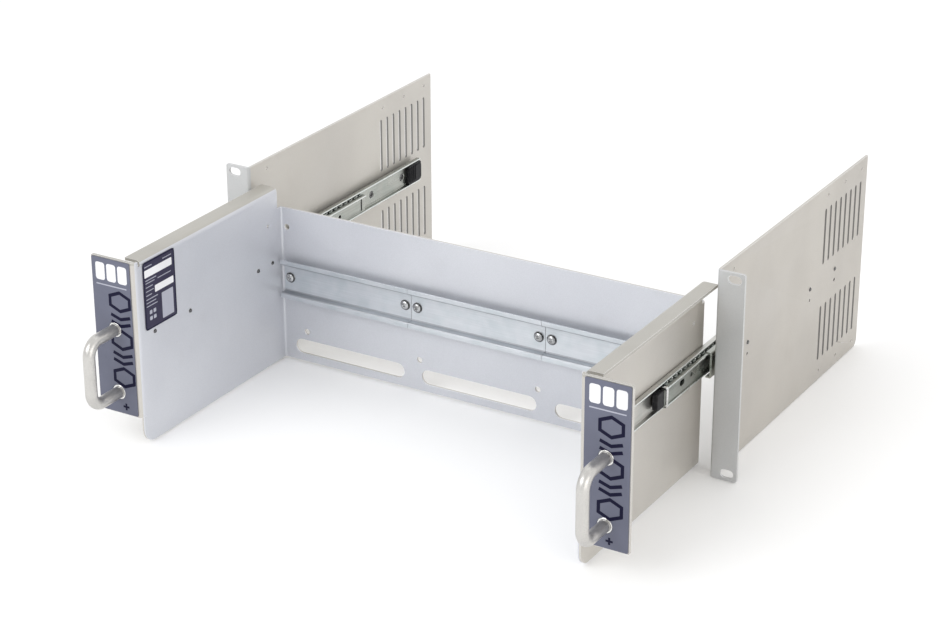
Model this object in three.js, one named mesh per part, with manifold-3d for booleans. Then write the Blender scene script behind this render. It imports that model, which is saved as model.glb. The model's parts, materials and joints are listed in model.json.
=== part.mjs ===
// A 4U drawer chassis for a 19 inch rack: two rack sides, two telescopic slides and a
// folded drawer that carries a three-part DIN rail on its rear wall.
//
// Millimetres. X runs across the rack, Y runs into the rack and Z is up. The pieces are
// drawn with Y = 0 on the front face of the rack ears; place() then moves them all so
// that the object stands on the origin with its middle over it.
// The drawer is drawn pulled out to its stop; pushed in, it stands 180 mm further back.

import * as THREE from "three";
import { mergeVertices } from "three/addons/utils/BufferGeometryUtils.js";
import Module from "manifold-3d";

const wasm = await Module();
wasm.setup();

// ---- driving dimensions -------------------------------------------------------------

const GAP = 0.3; // clearance left between pieces that touch in real life

// Rack sides
const RACK_WIDTH = 482.6;
const SIDE_HEIGHT = 177;
const SIDE_DEPTH = 292;
const SIDE_THICKNESS = 2;
const SIDE_INNER_X = 217.8;
const SIDE_BEND_RADIUS = 2.5;
const SIDE_REAR_CORNER = 7;
const EAR_CORNER = 2;
const RACK_HOLE_X = 232.55;
const RACK_HOLE_INSET = 5.95;
const RACK_SLOT_LENGTH = 11.5;
const RACK_SLOT_HEIGHT = 7;

// Vent slots and small holes in the rack sides
const VENT_COUNT = 8;
const VENT_FIRST_Y = 205.5;
const VENT_PITCH = 10.5;
const VENT_WIDTH = 3.6;
const VENT_LENGTH = 50;
const VENT_INSET = 19.5; // from the top edge down and from the bottom edge up
const EDGE_HOLE_YS = [26, 209, 245, 280];
const EDGE_HOLE_INSET = 8.5;
const EDGE_HOLE_DIAMETER = 3.2;
const SPARE_HOLE_DROP = 10; // spare row below the slide screws
const SPARE_HOLE_DIAMETER = 3.2;

// Drawer sheet
const SHEET = 2.5;
const BEND_INNER = 2;
const BEND_OUTER = BEND_INNER + SHEET;
const WING_INNER_X = 198.3;
const WING_OUTER_X = WING_INNER_X + SHEET;
const FRONT_Y = -183.4;
const FRONT_BACK_Y = FRONT_Y + SHEET;
const WALL_Y = 16.6; // front face of the rear wall
const DRAWER_BOTTOM = 1;
const DRAWER_TOP = 159.5;
const WALL_TOP = 140.5;
const FRONT_BOTTOM = 24.5;
const TOP_FLANGE_X = 213.5;
const TOP_FLANGE_FRONT_Y = -175.6;
const TOP_FLANGE_REAR_Y = 11.5;
const WING_FRONT_Y = -182;
const WING_CORNER = 12;
const FRONT_CORNER = 1;

// Cable slots and small holes in the rear wall
const CABLE_SLOT_CENTRES = [-131.6, -3.6, 124.4];
const CABLE_SLOT_LENGTH = 111;
const CABLE_SLOT_HEIGHT = 13.5;
const CABLE_SLOT_Z = 14.5;
const WALL_HOLE_XS = [-175, -61, 53, 167];
const WALL_HOLE_Z = 29;
const WALL_HOLE_DIAMETER = 5.6;
const WALL_TOP_HOLE_X = 192.8;
const WALL_TOP_HOLE_Z = 123;
const WING_HOLE_Y = -2.7;
const WING_HOLE_Z = 129;
const WING_HOLE_DIAMETER = 3.4;

// DIN rail, three equal lengths side by side
const RAIL_PITCH = 128;
const RAIL_START_X = -195.5;
const RAIL_COUNT = 3;
const RAIL_HEIGHT = 35;
const RAIL_DEPTH = 7.5;
const RAIL_SHEET = 1;
const RAIL_WEB_HALF = 13.5;
const RAIL_Z = 77.5;
const RAIL_SCREW_INSET = 6;

// Telescopic slides. The cross-section is drawn in (u, v): u runs from the drawer wing
// (0) to the rack side (SLIDE_GAP) and v is the height above the slide's middle.
const SLIDE_Z = 94;
const SLIDE_GAP = SIDE_INNER_X - WING_OUTER_X;
const SLIDE_WIDTH = 13.5;
const SLIDE_HALF = 11;
const SLIDE_SHEET = 1.5;
const SLIDE_LIP_REACH = 5.2;
const SLIDE_EDGE = 0.8; // width of the bevel along each channel's back edges
const DRAWER_RAIL_BACK = GAP;
const CABINET_RAIL_BACK = GAP + SLIDE_WIDTH;
const BEAM_MIDDLE = GAP + SLIDE_WIDTH / 2;
const BEAM_HALF = 8;
const BEAM_FLANGE = 1.4;
const BEAM_WEB = 1.4;
const BEAM_REACH = 2.9;
const CAGE_SHEET = 0.8;
const CAGE_STRIP = 0.9;
const CAGE_HALF = 9.2;
const CAGE_REACH = 4.5;
const CAGE_SETBACK = 0.4; // from a channel's back to the cage's
const CABINET_RAIL_Y = [3, 259];
const DRAWER_RAIL_Y = [-175, 64];
const BEAM_Y = [-67, 159.4];
const OUTER_CAGE_Y = [57, 157];
const INNER_CAGE_Y = [-62, 38];
const CAGE_TOOTH_PITCH = 8;
const CAGE_TOOTH = 3.4;
const STOP_Y = [238.4, 260];
const STOP_U = [7.6, 12];
const STOP_HALF = 9.2;
const BUFFER_Y = [-78.6, BEAM_Y[0] - GAP];
const BUFFER_U = [3.4, 8.4];
const BUFFER_HALF = 7;
const SPACER_DIAMETER = 9;
const CABINET_SCREW_YS = [58, 180.4, 232];
const DRAWER_SCREW_YS = [-162, -115, -19, 2];

// Handles
const HANDLE_X = 221;
const HANDLE_Z = 71;
const HANDLE_SPACING = 55;
const HANDLE_DIAMETER = 10;
const HANDLE_REACH = 40;
const HANDLE_BEND = 12;

// Stick-on pieces
const OVERLAY_THICKNESS = 0.5;
const OVERLAY_MARGIN = 0.8;
const OVERLAY_HOLE = 13;
const LABEL_Y = [-174, -133];
const LABEL_Z = [98, 156.5];
const LABEL_THICKNESS = 0.4;
const LABEL_CORNER = 3;

// ---- finishes -----------------------------------------------------------------------

const FINISH = {
  side: { color: 0xc6c1bb, roughness: 0.5, metalness: 0.6 },
  drawer: { color: 0xc9cbd2, roughness: 0.45, metalness: 0.6 },
  zinc: { color: 0xb4bab9, roughness: 0.35, metalness: 0.9 },
  dinRail: { color: 0xc5cdd2, roughness: 0.4, metalness: 0.85 },
  aluminium: { color: 0xbdb9b4, roughness: 0.4, metalness: 0.9 },
  screw: { color: 0xa9acad, roughness: 0.3, metalness: 0.95 },
  black: { color: 0x1a1a1c, roughness: 0.6, metalness: 0 },
  overlay: { color: 0x70748a, roughness: 0.5, metalness: 0 },
  label: { color: 0x3b3754, roughness: 0.5, metalness: 0 },
};

// ---- solids -------------------------------------------------------------------------

function toSolid(geometry) {
  geometry.deleteAttribute("normal");
  geometry.deleteAttribute("uv");
  const merged = mergeVertices(geometry, 1e-5);
  return new wasm.Manifold(
    new wasm.Mesh({
      numProp: 3,
      vertProperties: new Float32Array(merged.attributes.position.array),
      triVerts: new Uint32Array(merged.index.array),
    }),
  );
}

function toGeometry(solid) {
  const mesh = solid.getMesh();
  const geometry = new THREE.BufferGeometry();
  geometry.setAttribute("position", new THREE.BufferAttribute(new Float32Array(mesh.vertProperties), 3));
  geometry.setIndex(new THREE.BufferAttribute(new Uint32Array(mesh.triVerts), 1));
  const flat = geometry.toNonIndexed();
  flat.computeVertexNormals();
  return flat;
}

function box(x, y, z) {
  const geometry = new THREE.BoxGeometry(x[1] - x[0], y[1] - y[0], z[1] - z[0]);
  geometry.translate((x[0] + x[1]) / 2, (y[0] + y[1]) / 2, (z[0] + z[1]) / 2);
  return toSolid(geometry);
}

// Points along an arc; angles in degrees, running from one to the other.
function arc(centreA, centreB, radius, from, to, steps) {
  const points = [];
  for (let i = 0; i <= steps; i += 1) {
    const angle = THREE.MathUtils.degToRad(from + ((to - from) * i) / steps);
    points.push([centreA + radius * Math.cos(angle), centreB + radius * Math.sin(angle)]);
  }
  return points;
}

function prism(points, length) {
  const shape = new THREE.Shape(points.map(([a, b]) => new THREE.Vector2(a, b)));
  return new THREE.ExtrudeGeometry(shape, { depth: length, bevelEnabled: false, curveSegments: 12 });
}

// The three prisms: an outline drawn in one plane, pushed along the axis that is left.
function prismAlongZ(points, z) {
  const geometry = prism(points, z[1] - z[0]);
  geometry.translate(0, 0, z[0]);
  return toSolid(geometry);
}

function prismAlongX(points, x) {
  const geometry = prism(points, x[1] - x[0]);
  const frame = new THREE.Matrix4().makeBasis(
    new THREE.Vector3(0, 1, 0),
    new THREE.Vector3(0, 0, 1),
    new THREE.Vector3(1, 0, 0),
  );
  geometry.applyMatrix4(frame);
  geometry.translate(x[0], 0, 0);
  return toSolid(geometry);
}

// The outline is drawn in (x, z).
function prismAlongY(points, y) {
  const geometry = prism(points, y[1] - y[0]);
  geometry.rotateX(Math.PI / 2);
  geometry.translate(0, y[1], 0);
  return toSolid(geometry);
}

function slotOutline(centreA, centreB, lengthA, lengthB, steps) {
  const radius = Math.min(lengthA, lengthB) / 2;
  const reachA = lengthA / 2 - radius;
  const reachB = lengthB / 2 - radius;
  if (lengthA > lengthB) {
    return [
      ...arc(centreA + reachA, centreB, radius, -90, 90, steps),
      ...arc(centreA - reachA, centreB, radius, 90, 270, steps),
    ];
  }
  return [
    ...arc(centreA, centreB + reachB, radius, 0, 180, steps),
    ...arc(centreA, centreB - reachB, radius, 180, 360, steps),
  ];
}

function circleOutline(centreA, centreB, diameter, steps) {
  return arc(centreA, centreB, diameter / 2, 0, 360 - 360 / steps, steps - 1);
}

function roundedRectangle(a, b, radius, steps) {
  return [
    ...arc(a[1] - radius, b[0] + radius, radius, -90, 0, steps),
    ...arc(a[1] - radius, b[1] - radius, radius, 0, 90, steps),
    ...arc(a[0] + radius, b[1] - radius, radius, 90, 180, steps),
    ...arc(a[0] + radius, b[0] + radius, radius, 180, 270, steps),
  ];
}

// The sliver between a square corner and the arc that rounds it. The corner's two signs
// say which way the corner points.
function cornerOutline(cornerA, cornerB, signA, signB, radius) {
  const outside = 1;
  const centreA = cornerA - signA * radius;
  const centreB = cornerB - signB * radius;
  const rounded = arc(0, 0, radius, 0, 90, 6).map(([a, b]) => [centreA + signA * a, centreB + signB * b]);
  return [
    ...rounded,
    [centreA, cornerB + signB * outside],
    [cornerA + signA * outside, cornerB + signB * outside],
    [cornerA + signA * outside, centreB],
  ];
}

function cut(solid, tools) {
  return tools.reduce((left, tool) => left.subtract(tool), solid);
}

function join(solids) {
  return solids.reduce((left, right) => left.add(right));
}

function lathe(profile, steps) {
  const points = profile.map(([radius, height]) => new THREE.Vector2(radius, height));
  return new THREE.LatheGeometry(points, steps);
}

// ---- the assembly -------------------------------------------------------------------

const assembly = new THREE.Group();
assembly.name = "rack_drawer_chassis";

// The middle of the whole depth, from the handles' grips to the rear of the rack sides.
const MIDDLE_Y = (SIDE_DEPTH + FRONT_Y - HANDLE_REACH) / 2;

const SIDES = [
  { name: "left", sign: -1 },
  { name: "right", sign: 1 },
];

function place(name, solid, finish) {
  const mesh = new THREE.Mesh(toGeometry(solid), new THREE.MeshStandardMaterial(finish));
  mesh.name = name;
  mesh.position.y = -MIDDLE_Y;
  assembly.add(mesh);
}

// Everything with a left and a right copy is drawn on the right and mirrored.
function mirrored(solid, sign) {
  return sign > 0 ? solid : solid.mirror([1, 0, 0]);
}

// ---- rack sides ---------------------------------------------------------------------

function sidePlate() {
  const ear = RACK_WIDTH / 2;
  const bendX = SIDE_INNER_X + SIDE_BEND_RADIUS;
  const outline = [
    [ear, 0],
    [ear, SIDE_THICKNESS],
    ...arc(bendX, SIDE_BEND_RADIUS, SIDE_BEND_RADIUS - SIDE_THICKNESS, 270, 180, 2),
    [SIDE_INNER_X + SIDE_THICKNESS, SIDE_DEPTH],
    [SIDE_INNER_X, SIDE_DEPTH],
    ...arc(bendX, SIDE_BEND_RADIUS, SIDE_BEND_RADIUS, 180, 270, 4),
  ];
  const sheet = prismAlongZ(outline, [0, SIDE_HEIGHT]);
  return cut(sheet, [...rackSlots(), ...earCorners(), ...vents(), ...sideHoles(), rearCorner()]);
}

const THROUGH_SIDE = [SIDE_INNER_X - 1, SIDE_INNER_X + SIDE_THICKNESS + 1];
const THROUGH_EAR = [-1, SIDE_THICKNESS + 1];

function rackSlots() {
  return [RACK_HOLE_INSET, SIDE_HEIGHT - RACK_HOLE_INSET].map((z) =>
    prismAlongY(slotOutline(RACK_HOLE_X, z, RACK_SLOT_LENGTH, RACK_SLOT_HEIGHT, 8), THROUGH_EAR),
  );
}

function earCorners() {
  return [
    prismAlongY(cornerOutline(RACK_WIDTH / 2, SIDE_HEIGHT, 1, 1, EAR_CORNER), THROUGH_EAR),
    prismAlongY(cornerOutline(RACK_WIDTH / 2, 0, 1, -1, EAR_CORNER), THROUGH_EAR),
  ];
}

function rearCorner() {
  return prismAlongX(cornerOutline(SIDE_DEPTH, 0, 1, -1, SIDE_REAR_CORNER), THROUGH_SIDE);
}

function vents() {
  const middle = VENT_INSET + VENT_LENGTH / 2;
  const cutters = [];
  for (const z of [middle, SIDE_HEIGHT - middle]) {
    for (let i = 0; i < VENT_COUNT; i += 1) {
      const y = VENT_FIRST_Y + i * VENT_PITCH;
      cutters.push(prismAlongX(slotOutline(y, z, VENT_WIDTH, VENT_LENGTH, 4), THROUGH_SIDE));
    }
  }
  return cutters;
}

function sideHoles() {
  const holes = [];
  for (const y of EDGE_HOLE_YS) {
    for (const z of [EDGE_HOLE_INSET, SIDE_HEIGHT - EDGE_HOLE_INSET]) {
      holes.push([y, z, EDGE_HOLE_DIAMETER]);
    }
  }
  for (const y of CABINET_SCREW_YS) {
    holes.push([y, SLIDE_Z, SLIDE_SCREW.shank + 2 * GAP]);
    holes.push([y, SLIDE_Z - SPARE_HOLE_DROP, SPARE_HOLE_DIAMETER]);
  }
  return holes.map(([y, z, diameter]) => prismAlongX(circleOutline(y, z, diameter, 10), THROUGH_SIDE));
}

// ---- screws -------------------------------------------------------------------------

const SLIDE_SCREW = { shank: 3.4, head: 6.6, headHeight: 1.3 };
const HANDLE_SCREW = { shank: 5, head: 9, headHeight: 2.1 };
const PAN_SCREW = { shank: 4, head: 9.2, rim: 0.9, headHeight: 2.6, crown: 5 };
const RECESS_WIDTH = 1;
const RECESS_LENGTH = 3.6;
const RECESS_DEPTH = 1;

// Screws are turned about Y with the head's top at 0 and the tip at +Y.
function crossRecess(width, length, depth) {
  return [
    box([-length / 2, length / 2], [-1, depth], [-width / 2, width / 2]),
    box([-width / 2, width / 2], [-1, depth], [-length / 2, length / 2]),
  ];
}

function countersunkScrew(size, length) {
  const radius = size.head / 2;
  const neck = size.shank / 2;
  const profile = [
    [0, 0],
    [radius, 0],
    [radius, 0.2],
    [neck, size.headHeight],
    [neck, length],
    [0, length],
  ];
  return cut(toSolid(lathe(profile, 12)), crossRecess(RECESS_WIDTH, RECESS_LENGTH, RECESS_DEPTH));
}

// The hole a countersunk screw sits in, one gap larger all round.
function countersunkHole(size, length) {
  const radius = size.head / 2 + GAP;
  const neck = size.shank / 2 + GAP;
  const profile = [
    [0, -1],
    [radius, -1],
    [radius, 0.2],
    [neck, size.headHeight],
    [neck, length],
    [0, length],
  ];
  return toSolid(lathe(profile, 12));
}

function panScrew(length) {
  const head = PAN_SCREW.head / 2;
  const profile = [
    [0, 0],
    [PAN_SCREW.crown / 2, 0],
    [head - 0.6, PAN_SCREW.headHeight * 0.4],
    [head, PAN_SCREW.headHeight - PAN_SCREW.rim],
    [head, PAN_SCREW.headHeight],
    [PAN_SCREW.shank / 2, PAN_SCREW.headHeight],
    [PAN_SCREW.shank / 2, length],
    [0, length],
  ];
  return cut(toSolid(lathe(profile, 16)), crossRecess(RECESS_WIDTH, RECESS_LENGTH, RECESS_DEPTH));
}

// Turned so that the tip points along +X.
function alongX(solid) {
  return solid.rotate([0, 0, -90]);
}

// ---- telescopic slides --------------------------------------------------------------

function slideX(u) {
  return WING_OUTER_X + u;
}

// An outline in (u, v) made into a prism along Y.
function slideProfile(points, y) {
  const inPlace = points.map(([u, v]) => [slideX(u), SLIDE_Z + v]);
  return prismAlongY(inPlace, y);
}

// A channel with its back at the u given and its lips reaching toward the beam.
function channel(back, toward, y) {
  const half = [
    [0, SLIDE_HALF - SLIDE_EDGE],
    [SLIDE_EDGE, SLIDE_HALF],
    [SLIDE_LIP_REACH, SLIDE_HALF],
    [SLIDE_LIP_REACH, SLIDE_HALF - SLIDE_SHEET],
    [SLIDE_SHEET, SLIDE_HALF - SLIDE_SHEET],
  ];
  const other = half.map(([u, v]) => [u, -v]).reverse();
  return slideProfile([...half, ...other].map(([u, v]) => [back + toward * u, v]), y);
}

function cabinetRail() {
  const rail = channel(CABINET_RAIL_BACK, -1, CABINET_RAIL_Y);
  const web = slideX(CABINET_RAIL_BACK - SLIDE_SHEET);
  const hole = alongX(countersunkHole(SLIDE_SCREW, 8));
  return cut(rail, CABINET_SCREW_YS.map((y) => hole.translate([web, y, SLIDE_Z])));
}

function drawerRail() {
  const rail = channel(DRAWER_RAIL_BACK, 1, DRAWER_RAIL_Y);
  const web = slideX(DRAWER_RAIL_BACK + SLIDE_SHEET);
  const hole = alongX(countersunkHole(SLIDE_SCREW, 8)).mirror([1, 0, 0]);
  return cut(rail, DRAWER_SCREW_YS.map((y) => hole.translate([web, y, SLIDE_Z])));
}

// A washer that holds the cabinet rail off the rack side.
function railSpacer(y) {
  const ring = prismAlongX(circleOutline(y, SLIDE_Z, SPACER_DIAMETER, 20), [
    slideX(CABINET_RAIL_BACK + GAP),
    slideX(SLIDE_GAP - GAP),
  ]);
  const bore = circleOutline(y, SLIDE_Z, SLIDE_SCREW.shank + 2 * GAP, 12);
  return cut(ring, [prismAlongX(bore, [slideX(CABINET_RAIL_BACK), slideX(SLIDE_GAP)])]);
}

function beam() {
  const quarter = [
    [BEAM_WEB / 2, 0],
    [BEAM_WEB / 2, BEAM_HALF - BEAM_FLANGE],
    [BEAM_REACH, BEAM_HALF - BEAM_FLANGE],
    [BEAM_REACH, BEAM_HALF],
  ];
  const upperRight = quarter.slice(1);
  const outline = [
    ...upperRight,
    ...upperRight.map(([u, v]) => [-u, v]).reverse(),
    ...upperRight.map(([u, v]) => [-u, -v]),
    ...upperRight.map(([u, v]) => [u, -v]).reverse(),
  ].map(([u, v]) => [BEAM_MIDDLE + u, v]);
  const bar = slideProfile(outline, BEAM_Y);
  const across = [slideX(BEAM_MIDDLE - 3), slideX(BEAM_MIDDLE + 3)];
  return cut(bar, [
    prismAlongX(slotOutline(-36, SLIDE_Z + 0.5, 8, 5, 5), across),
    prismAlongX(circleOutline(-20, SLIDE_Z + 1, 4, 10), across),
    prismAlongX(circleOutline(119, SLIDE_Z, 4, 10), across),
    prismAlongX(slotOutline(154, SLIDE_Z, 2.4, 11.5, 4), across),
  ]);
}

// A bent strip that holds the balls between a channel and the beam; teeth along both
// arms keep the balls apart.
function ballCage(back, toward, y) {
  const half = [
    [0, CAGE_HALF],
    [CAGE_REACH, CAGE_HALF],
    [CAGE_REACH, CAGE_HALF - CAGE_STRIP],
    [CAGE_SHEET, CAGE_HALF - CAGE_STRIP],
  ];
  const other = half.map(([u, v]) => [u, -v]).reverse();
  const strip = slideProfile([...half, ...other].map(([u, v]) => [back + toward * u, v]), y);
  const reach = [back + toward * (CAGE_SHEET + 0.6), back + toward * (CAGE_REACH + 1)];
  const across = [slideX(Math.min(...reach)), slideX(Math.max(...reach))];
  const notches = [];
  for (let start = y[0] + CAGE_TOOTH; start < y[1] - CAGE_TOOTH_PITCH; start += CAGE_TOOTH_PITCH) {
    const along = [start, start + CAGE_TOOTH_PITCH - CAGE_TOOTH];
    for (const v of [-CAGE_HALF, CAGE_HALF]) {
      notches.push(box(across, along, [SLIDE_Z + v - 2, SLIDE_Z + v + 2]));
    }
  }
  return cut(strip, notches);
}

function outerCage() {
  return ballCage(CABINET_RAIL_BACK - SLIDE_SHEET - CAGE_SETBACK, -1, OUTER_CAGE_Y);
}

function innerCage() {
  return ballCage(DRAWER_RAIL_BACK + SLIDE_SHEET + CAGE_SETBACK, 1, INNER_CAGE_Y);
}

function railStop() {
  return prismAlongX(
    roundedRectangle(STOP_Y, [SLIDE_Z - STOP_HALF, SLIDE_Z + STOP_HALF], 2.5, 3),
    [slideX(STOP_U[0]), slideX(STOP_U[1])],
  );
}

function beamBuffer() {
  return prismAlongX(
    roundedRectangle(BUFFER_Y, [SLIDE_Z - BUFFER_HALF, SLIDE_Z + BUFFER_HALF], 2, 3),
    [slideX(BUFFER_U[0]), slideX(BUFFER_U[1])],
  );
}

// ---- drawer -------------------------------------------------------------------------

// Half of the folded sheet seen from above, as two faces running from the front flange's
// outer end round both bends to the middle of the rear wall.
function drawerFaces() {
  const front = RACK_WIDTH / 2;
  const frontBend = [WING_INNER_X + BEND_OUTER, FRONT_Y + BEND_OUTER];
  const rearBend = [WING_INNER_X - BEND_INNER, WALL_Y - BEND_INNER];
  const shown = [
    [front, FRONT_Y],
    ...arc(...frontBend, BEND_OUTER, 270, 180, 5),
    ...arc(...rearBend, BEND_INNER, 0, 90, 4),
  ];
  const hidden = [
    [front, FRONT_BACK_Y],
    ...arc(...frontBend, BEND_INNER, 270, 180, 4),
    ...arc(...rearBend, BEND_OUTER, 0, 90, 5),
  ];
  return { shown, hidden };
}

function drawerSheet(z) {
  const { shown, hidden } = drawerFaces();
  const flip = (points) => points.map(([x, y]) => [-x, y]);
  const outline = [
    ...[...shown].reverse(),
    ...hidden,
    ...flip(hidden).reverse(),
    ...flip(shown),
  ];
  return prismAlongZ(outline, z);
}

function topFlange() {
  const centreX = WING_INNER_X + BEND_OUTER;
  const centreZ = DRAWER_TOP - BEND_OUTER;
  const outline = [
    [TOP_FLANGE_X, DRAWER_TOP - SHEET],
    [TOP_FLANGE_X, DRAWER_TOP],
    ...arc(centreX, centreZ, BEND_OUTER, 90, 180, 5),
    [WING_INNER_X, centreZ - 1],
    [WING_OUTER_X, centreZ - 1],
    ...arc(centreX, centreZ, BEND_INNER, 180, 90, 4),
  ];
  return prismAlongY(outline, [TOP_FLANGE_FRONT_Y, TOP_FLANGE_REAR_Y]);
}

// The wing's front end below the front flange, with its lower corner rounded.
function wingToe() {
  const back = FRONT_Y + BEND_OUTER + 14;
  const outline = [
    [back, DRAWER_BOTTOM],
    [back, FRONT_BOTTOM + 1],
    [WING_FRONT_Y, FRONT_BOTTOM + 1],
    ...arc(WING_FRONT_Y + WING_CORNER, DRAWER_BOTTOM + WING_CORNER, WING_CORNER, 180, 270, 6),
  ];
  return prismAlongX(outline, [WING_INNER_X, WING_OUTER_X]);
}

function drawerTray() {
  const far = RACK_WIDTH;
  const bendEnd = FRONT_Y + BEND_OUTER;
  const flangeRoot = DRAWER_TOP - BEND_OUTER;
  const trimmed = cut(drawerSheet([DRAWER_BOTTOM, DRAWER_TOP]), [
    box([-far, far], [TOP_FLANGE_REAR_Y, WALL_Y + 10], [WALL_TOP, DRAWER_TOP + 1]),
    box([-far, far], [bendEnd, TOP_FLANGE_REAR_Y + 1], [flangeRoot, DRAWER_TOP + 1]),
    box([-far, far], [FRONT_Y - 1, bendEnd + 13], [DRAWER_BOTTOM - 1, FRONT_BOTTOM]),
  ]);
  const folds = [topFlange(), wingToe()];
  const body = join([trimmed, ...folds, ...folds.map((fold) => mirrored(fold, -1))]);
  return cut(body, [...frontCorners(), ...wallHoles(), ...wingHoles(), ...handleHoles()]);
}

const THROUGH_WALL = [WALL_Y - 1, WALL_Y + SHEET + 1];
const THROUGH_FRONT = [FRONT_Y - 1, FRONT_BACK_Y + 1];

function frontCorners() {
  const corners = [];
  for (const { sign } of SIDES) {
    for (const [z, up] of [
      [DRAWER_TOP, 1],
      [FRONT_BOTTOM, -1],
    ]) {
      const outline = cornerOutline((sign * RACK_WIDTH) / 2, z, sign, up, FRONT_CORNER);
      corners.push(prismAlongY(outline, THROUGH_FRONT));
    }
  }
  return corners;
}

function wallHoles() {
  const slots = CABLE_SLOT_CENTRES.map((x) =>
    slotOutline(x, CABLE_SLOT_Z, CABLE_SLOT_LENGTH, CABLE_SLOT_HEIGHT, 8),
  );
  const holes = WALL_HOLE_XS.map((x) => circleOutline(x, WALL_HOLE_Z, WALL_HOLE_DIAMETER, 12));
  for (const { sign } of SIDES) {
    holes.push(circleOutline(sign * WALL_TOP_HOLE_X, WALL_TOP_HOLE_Z, WALL_HOLE_DIAMETER, 12));
  }
  for (const x of railScrewXs()) {
    holes.push(circleOutline(x, RAIL_Z, PAN_SCREW.shank + 2 * GAP, 12));
  }
  return [...slots, ...holes].map((outline) => prismAlongY(outline, THROUGH_WALL));
}

function wingHoles() {
  const bore = SLIDE_SCREW.shank + 2 * GAP;
  const outlines = DRAWER_SCREW_YS.map((y) => circleOutline(y, SLIDE_Z, bore, 10));
  outlines.push(circleOutline(WING_HOLE_Y, WING_HOLE_Z, WING_HOLE_DIAMETER, 10));
  const right = outlines.map((outline) => prismAlongX(outline, [WING_INNER_X - 1, WING_OUTER_X + 1]));
  return [...right, ...right.map((hole) => mirrored(hole, -1))];
}

// Countersunk from behind, so that the front can close on the rack ears.
function handleHoles() {
  const holes = [];
  const hole = countersunkHole(HANDLE_SCREW, SHEET + 1).mirror([0, 1, 0]);
  for (const { sign } of SIDES) {
    for (const z of handleLegZs()) {
      holes.push(hole.translate([sign * HANDLE_X, FRONT_BACK_Y, z]));
    }
  }
  return holes;
}

// ---- DIN rail -----------------------------------------------------------------------

function railScrewXs() {
  const xs = [];
  for (let i = 0; i < RAIL_COUNT; i += 1) {
    const start = RAIL_START_X + i * RAIL_PITCH;
    xs.push(start + RAIL_SCREW_INSET, start + RAIL_PITCH - RAIL_SCREW_INSET);
  }
  return xs;
}

// Top-hat section in (y, z): the web lies against the wall and the lips stand in front.
function railOutline() {
  const webBack = WALL_Y - GAP;
  const lipFront = webBack - RAIL_DEPTH;
  const lipEdge = RAIL_HEIGHT / 2;
  const bend = 1.6;
  const upperFront = [
    [webBack - RAIL_SHEET, 0],
    ...arc(webBack - bend, RAIL_WEB_HALF - bend, bend - RAIL_SHEET, 0, 90, 2),
    ...arc(lipFront + bend, RAIL_WEB_HALF - RAIL_SHEET + bend, bend, 270, 180, 3),
    [lipFront, lipEdge],
  ];
  const upperBack = [
    [lipFront + RAIL_SHEET, lipEdge],
    ...arc(lipFront + bend, RAIL_WEB_HALF - RAIL_SHEET + bend, bend - RAIL_SHEET, 180, 270, 2),
    ...arc(webBack - bend, RAIL_WEB_HALF - bend, bend, 90, 0, 3),
    [webBack, 0],
  ];
  const upper = [...upperFront, ...upperBack];
  const lower = upper.slice(1, -1).map(([y, z]) => [y, -z]).reverse();
  return [...upper, ...lower].map(([y, z]) => [y, RAIL_Z + z]);
}

function dinRail(index) {
  const start = RAIL_START_X + index * RAIL_PITCH;
  const x = [start + GAP / 2, start + RAIL_PITCH - GAP / 2];
  const rail = prismAlongX(railOutline(), x);
  const holes = railScrewXs()
    .slice(2 * index, 2 * index + 2)
    .map((screwX) =>
      prismAlongY(circleOutline(screwX, RAIL_Z, PAN_SCREW.shank + 2 * GAP, 12), [WALL_Y - 4, WALL_Y + 1]),
    );
  return cut(rail, holes);
}

// ---- handles and stick-on pieces ----------------------------------------------------

function handleLegZs() {
  return [HANDLE_Z - HANDLE_SPACING / 2, HANDLE_Z + HANDLE_SPACING / 2];
}

// A quarter turn of the handle's centre line, starting at the angle given.
class HandleBend extends THREE.Curve {
  constructor(at, centreY, centreZ, from) {
    super();
    this.at = at;
    this.centre = [centreY, centreZ];
    this.from = from;
  }

  getPoint(t) {
    const angle = THREE.MathUtils.degToRad(this.from + 90 * t);
    const y = this.centre[0] + HANDLE_BEND * Math.cos(angle);
    const z = this.centre[1] + HANDLE_BEND * Math.sin(angle);
    return this.at(y, z);
  }
}

// A round bar bent into a U: both legs stand on the front flange.
function handle() {
  const rootY = FRONT_Y - GAP;
  const gripY = FRONT_Y - HANDLE_REACH + HANDLE_DIAMETER / 2;
  const [low, high] = handleLegZs();
  const at = (y, z) => new THREE.Vector3(HANDLE_X, y, z);
  const path = new THREE.CurvePath();
  path.add(new THREE.LineCurve3(at(rootY, high), at(gripY + HANDLE_BEND, high)));
  path.add(new HandleBend(at, gripY + HANDLE_BEND, high - HANDLE_BEND, 90));
  path.add(new THREE.LineCurve3(at(gripY, high - HANDLE_BEND), at(gripY, low + HANDLE_BEND)));
  path.add(new HandleBend(at, gripY + HANDLE_BEND, low + HANDLE_BEND, 180));
  path.add(new THREE.LineCurve3(at(gripY + HANDLE_BEND, low), at(rootY, low)));
  const section = new THREE.Shape();
  section.absarc(0, 0, HANDLE_DIAMETER / 2, 0, 2 * Math.PI, false);
  const bar = new THREE.ExtrudeGeometry(section, { steps: 32, curveSegments: 8, extrudePath: path });
  const holes = [low, high].map((z) =>
    prismAlongY(circleOutline(HANDLE_X, z, HANDLE_SCREW.shank + 2 * GAP, 12), [rootY - 12, rootY + 1]),
  );
  return cut(toSolid(bar), holes);
}

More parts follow.
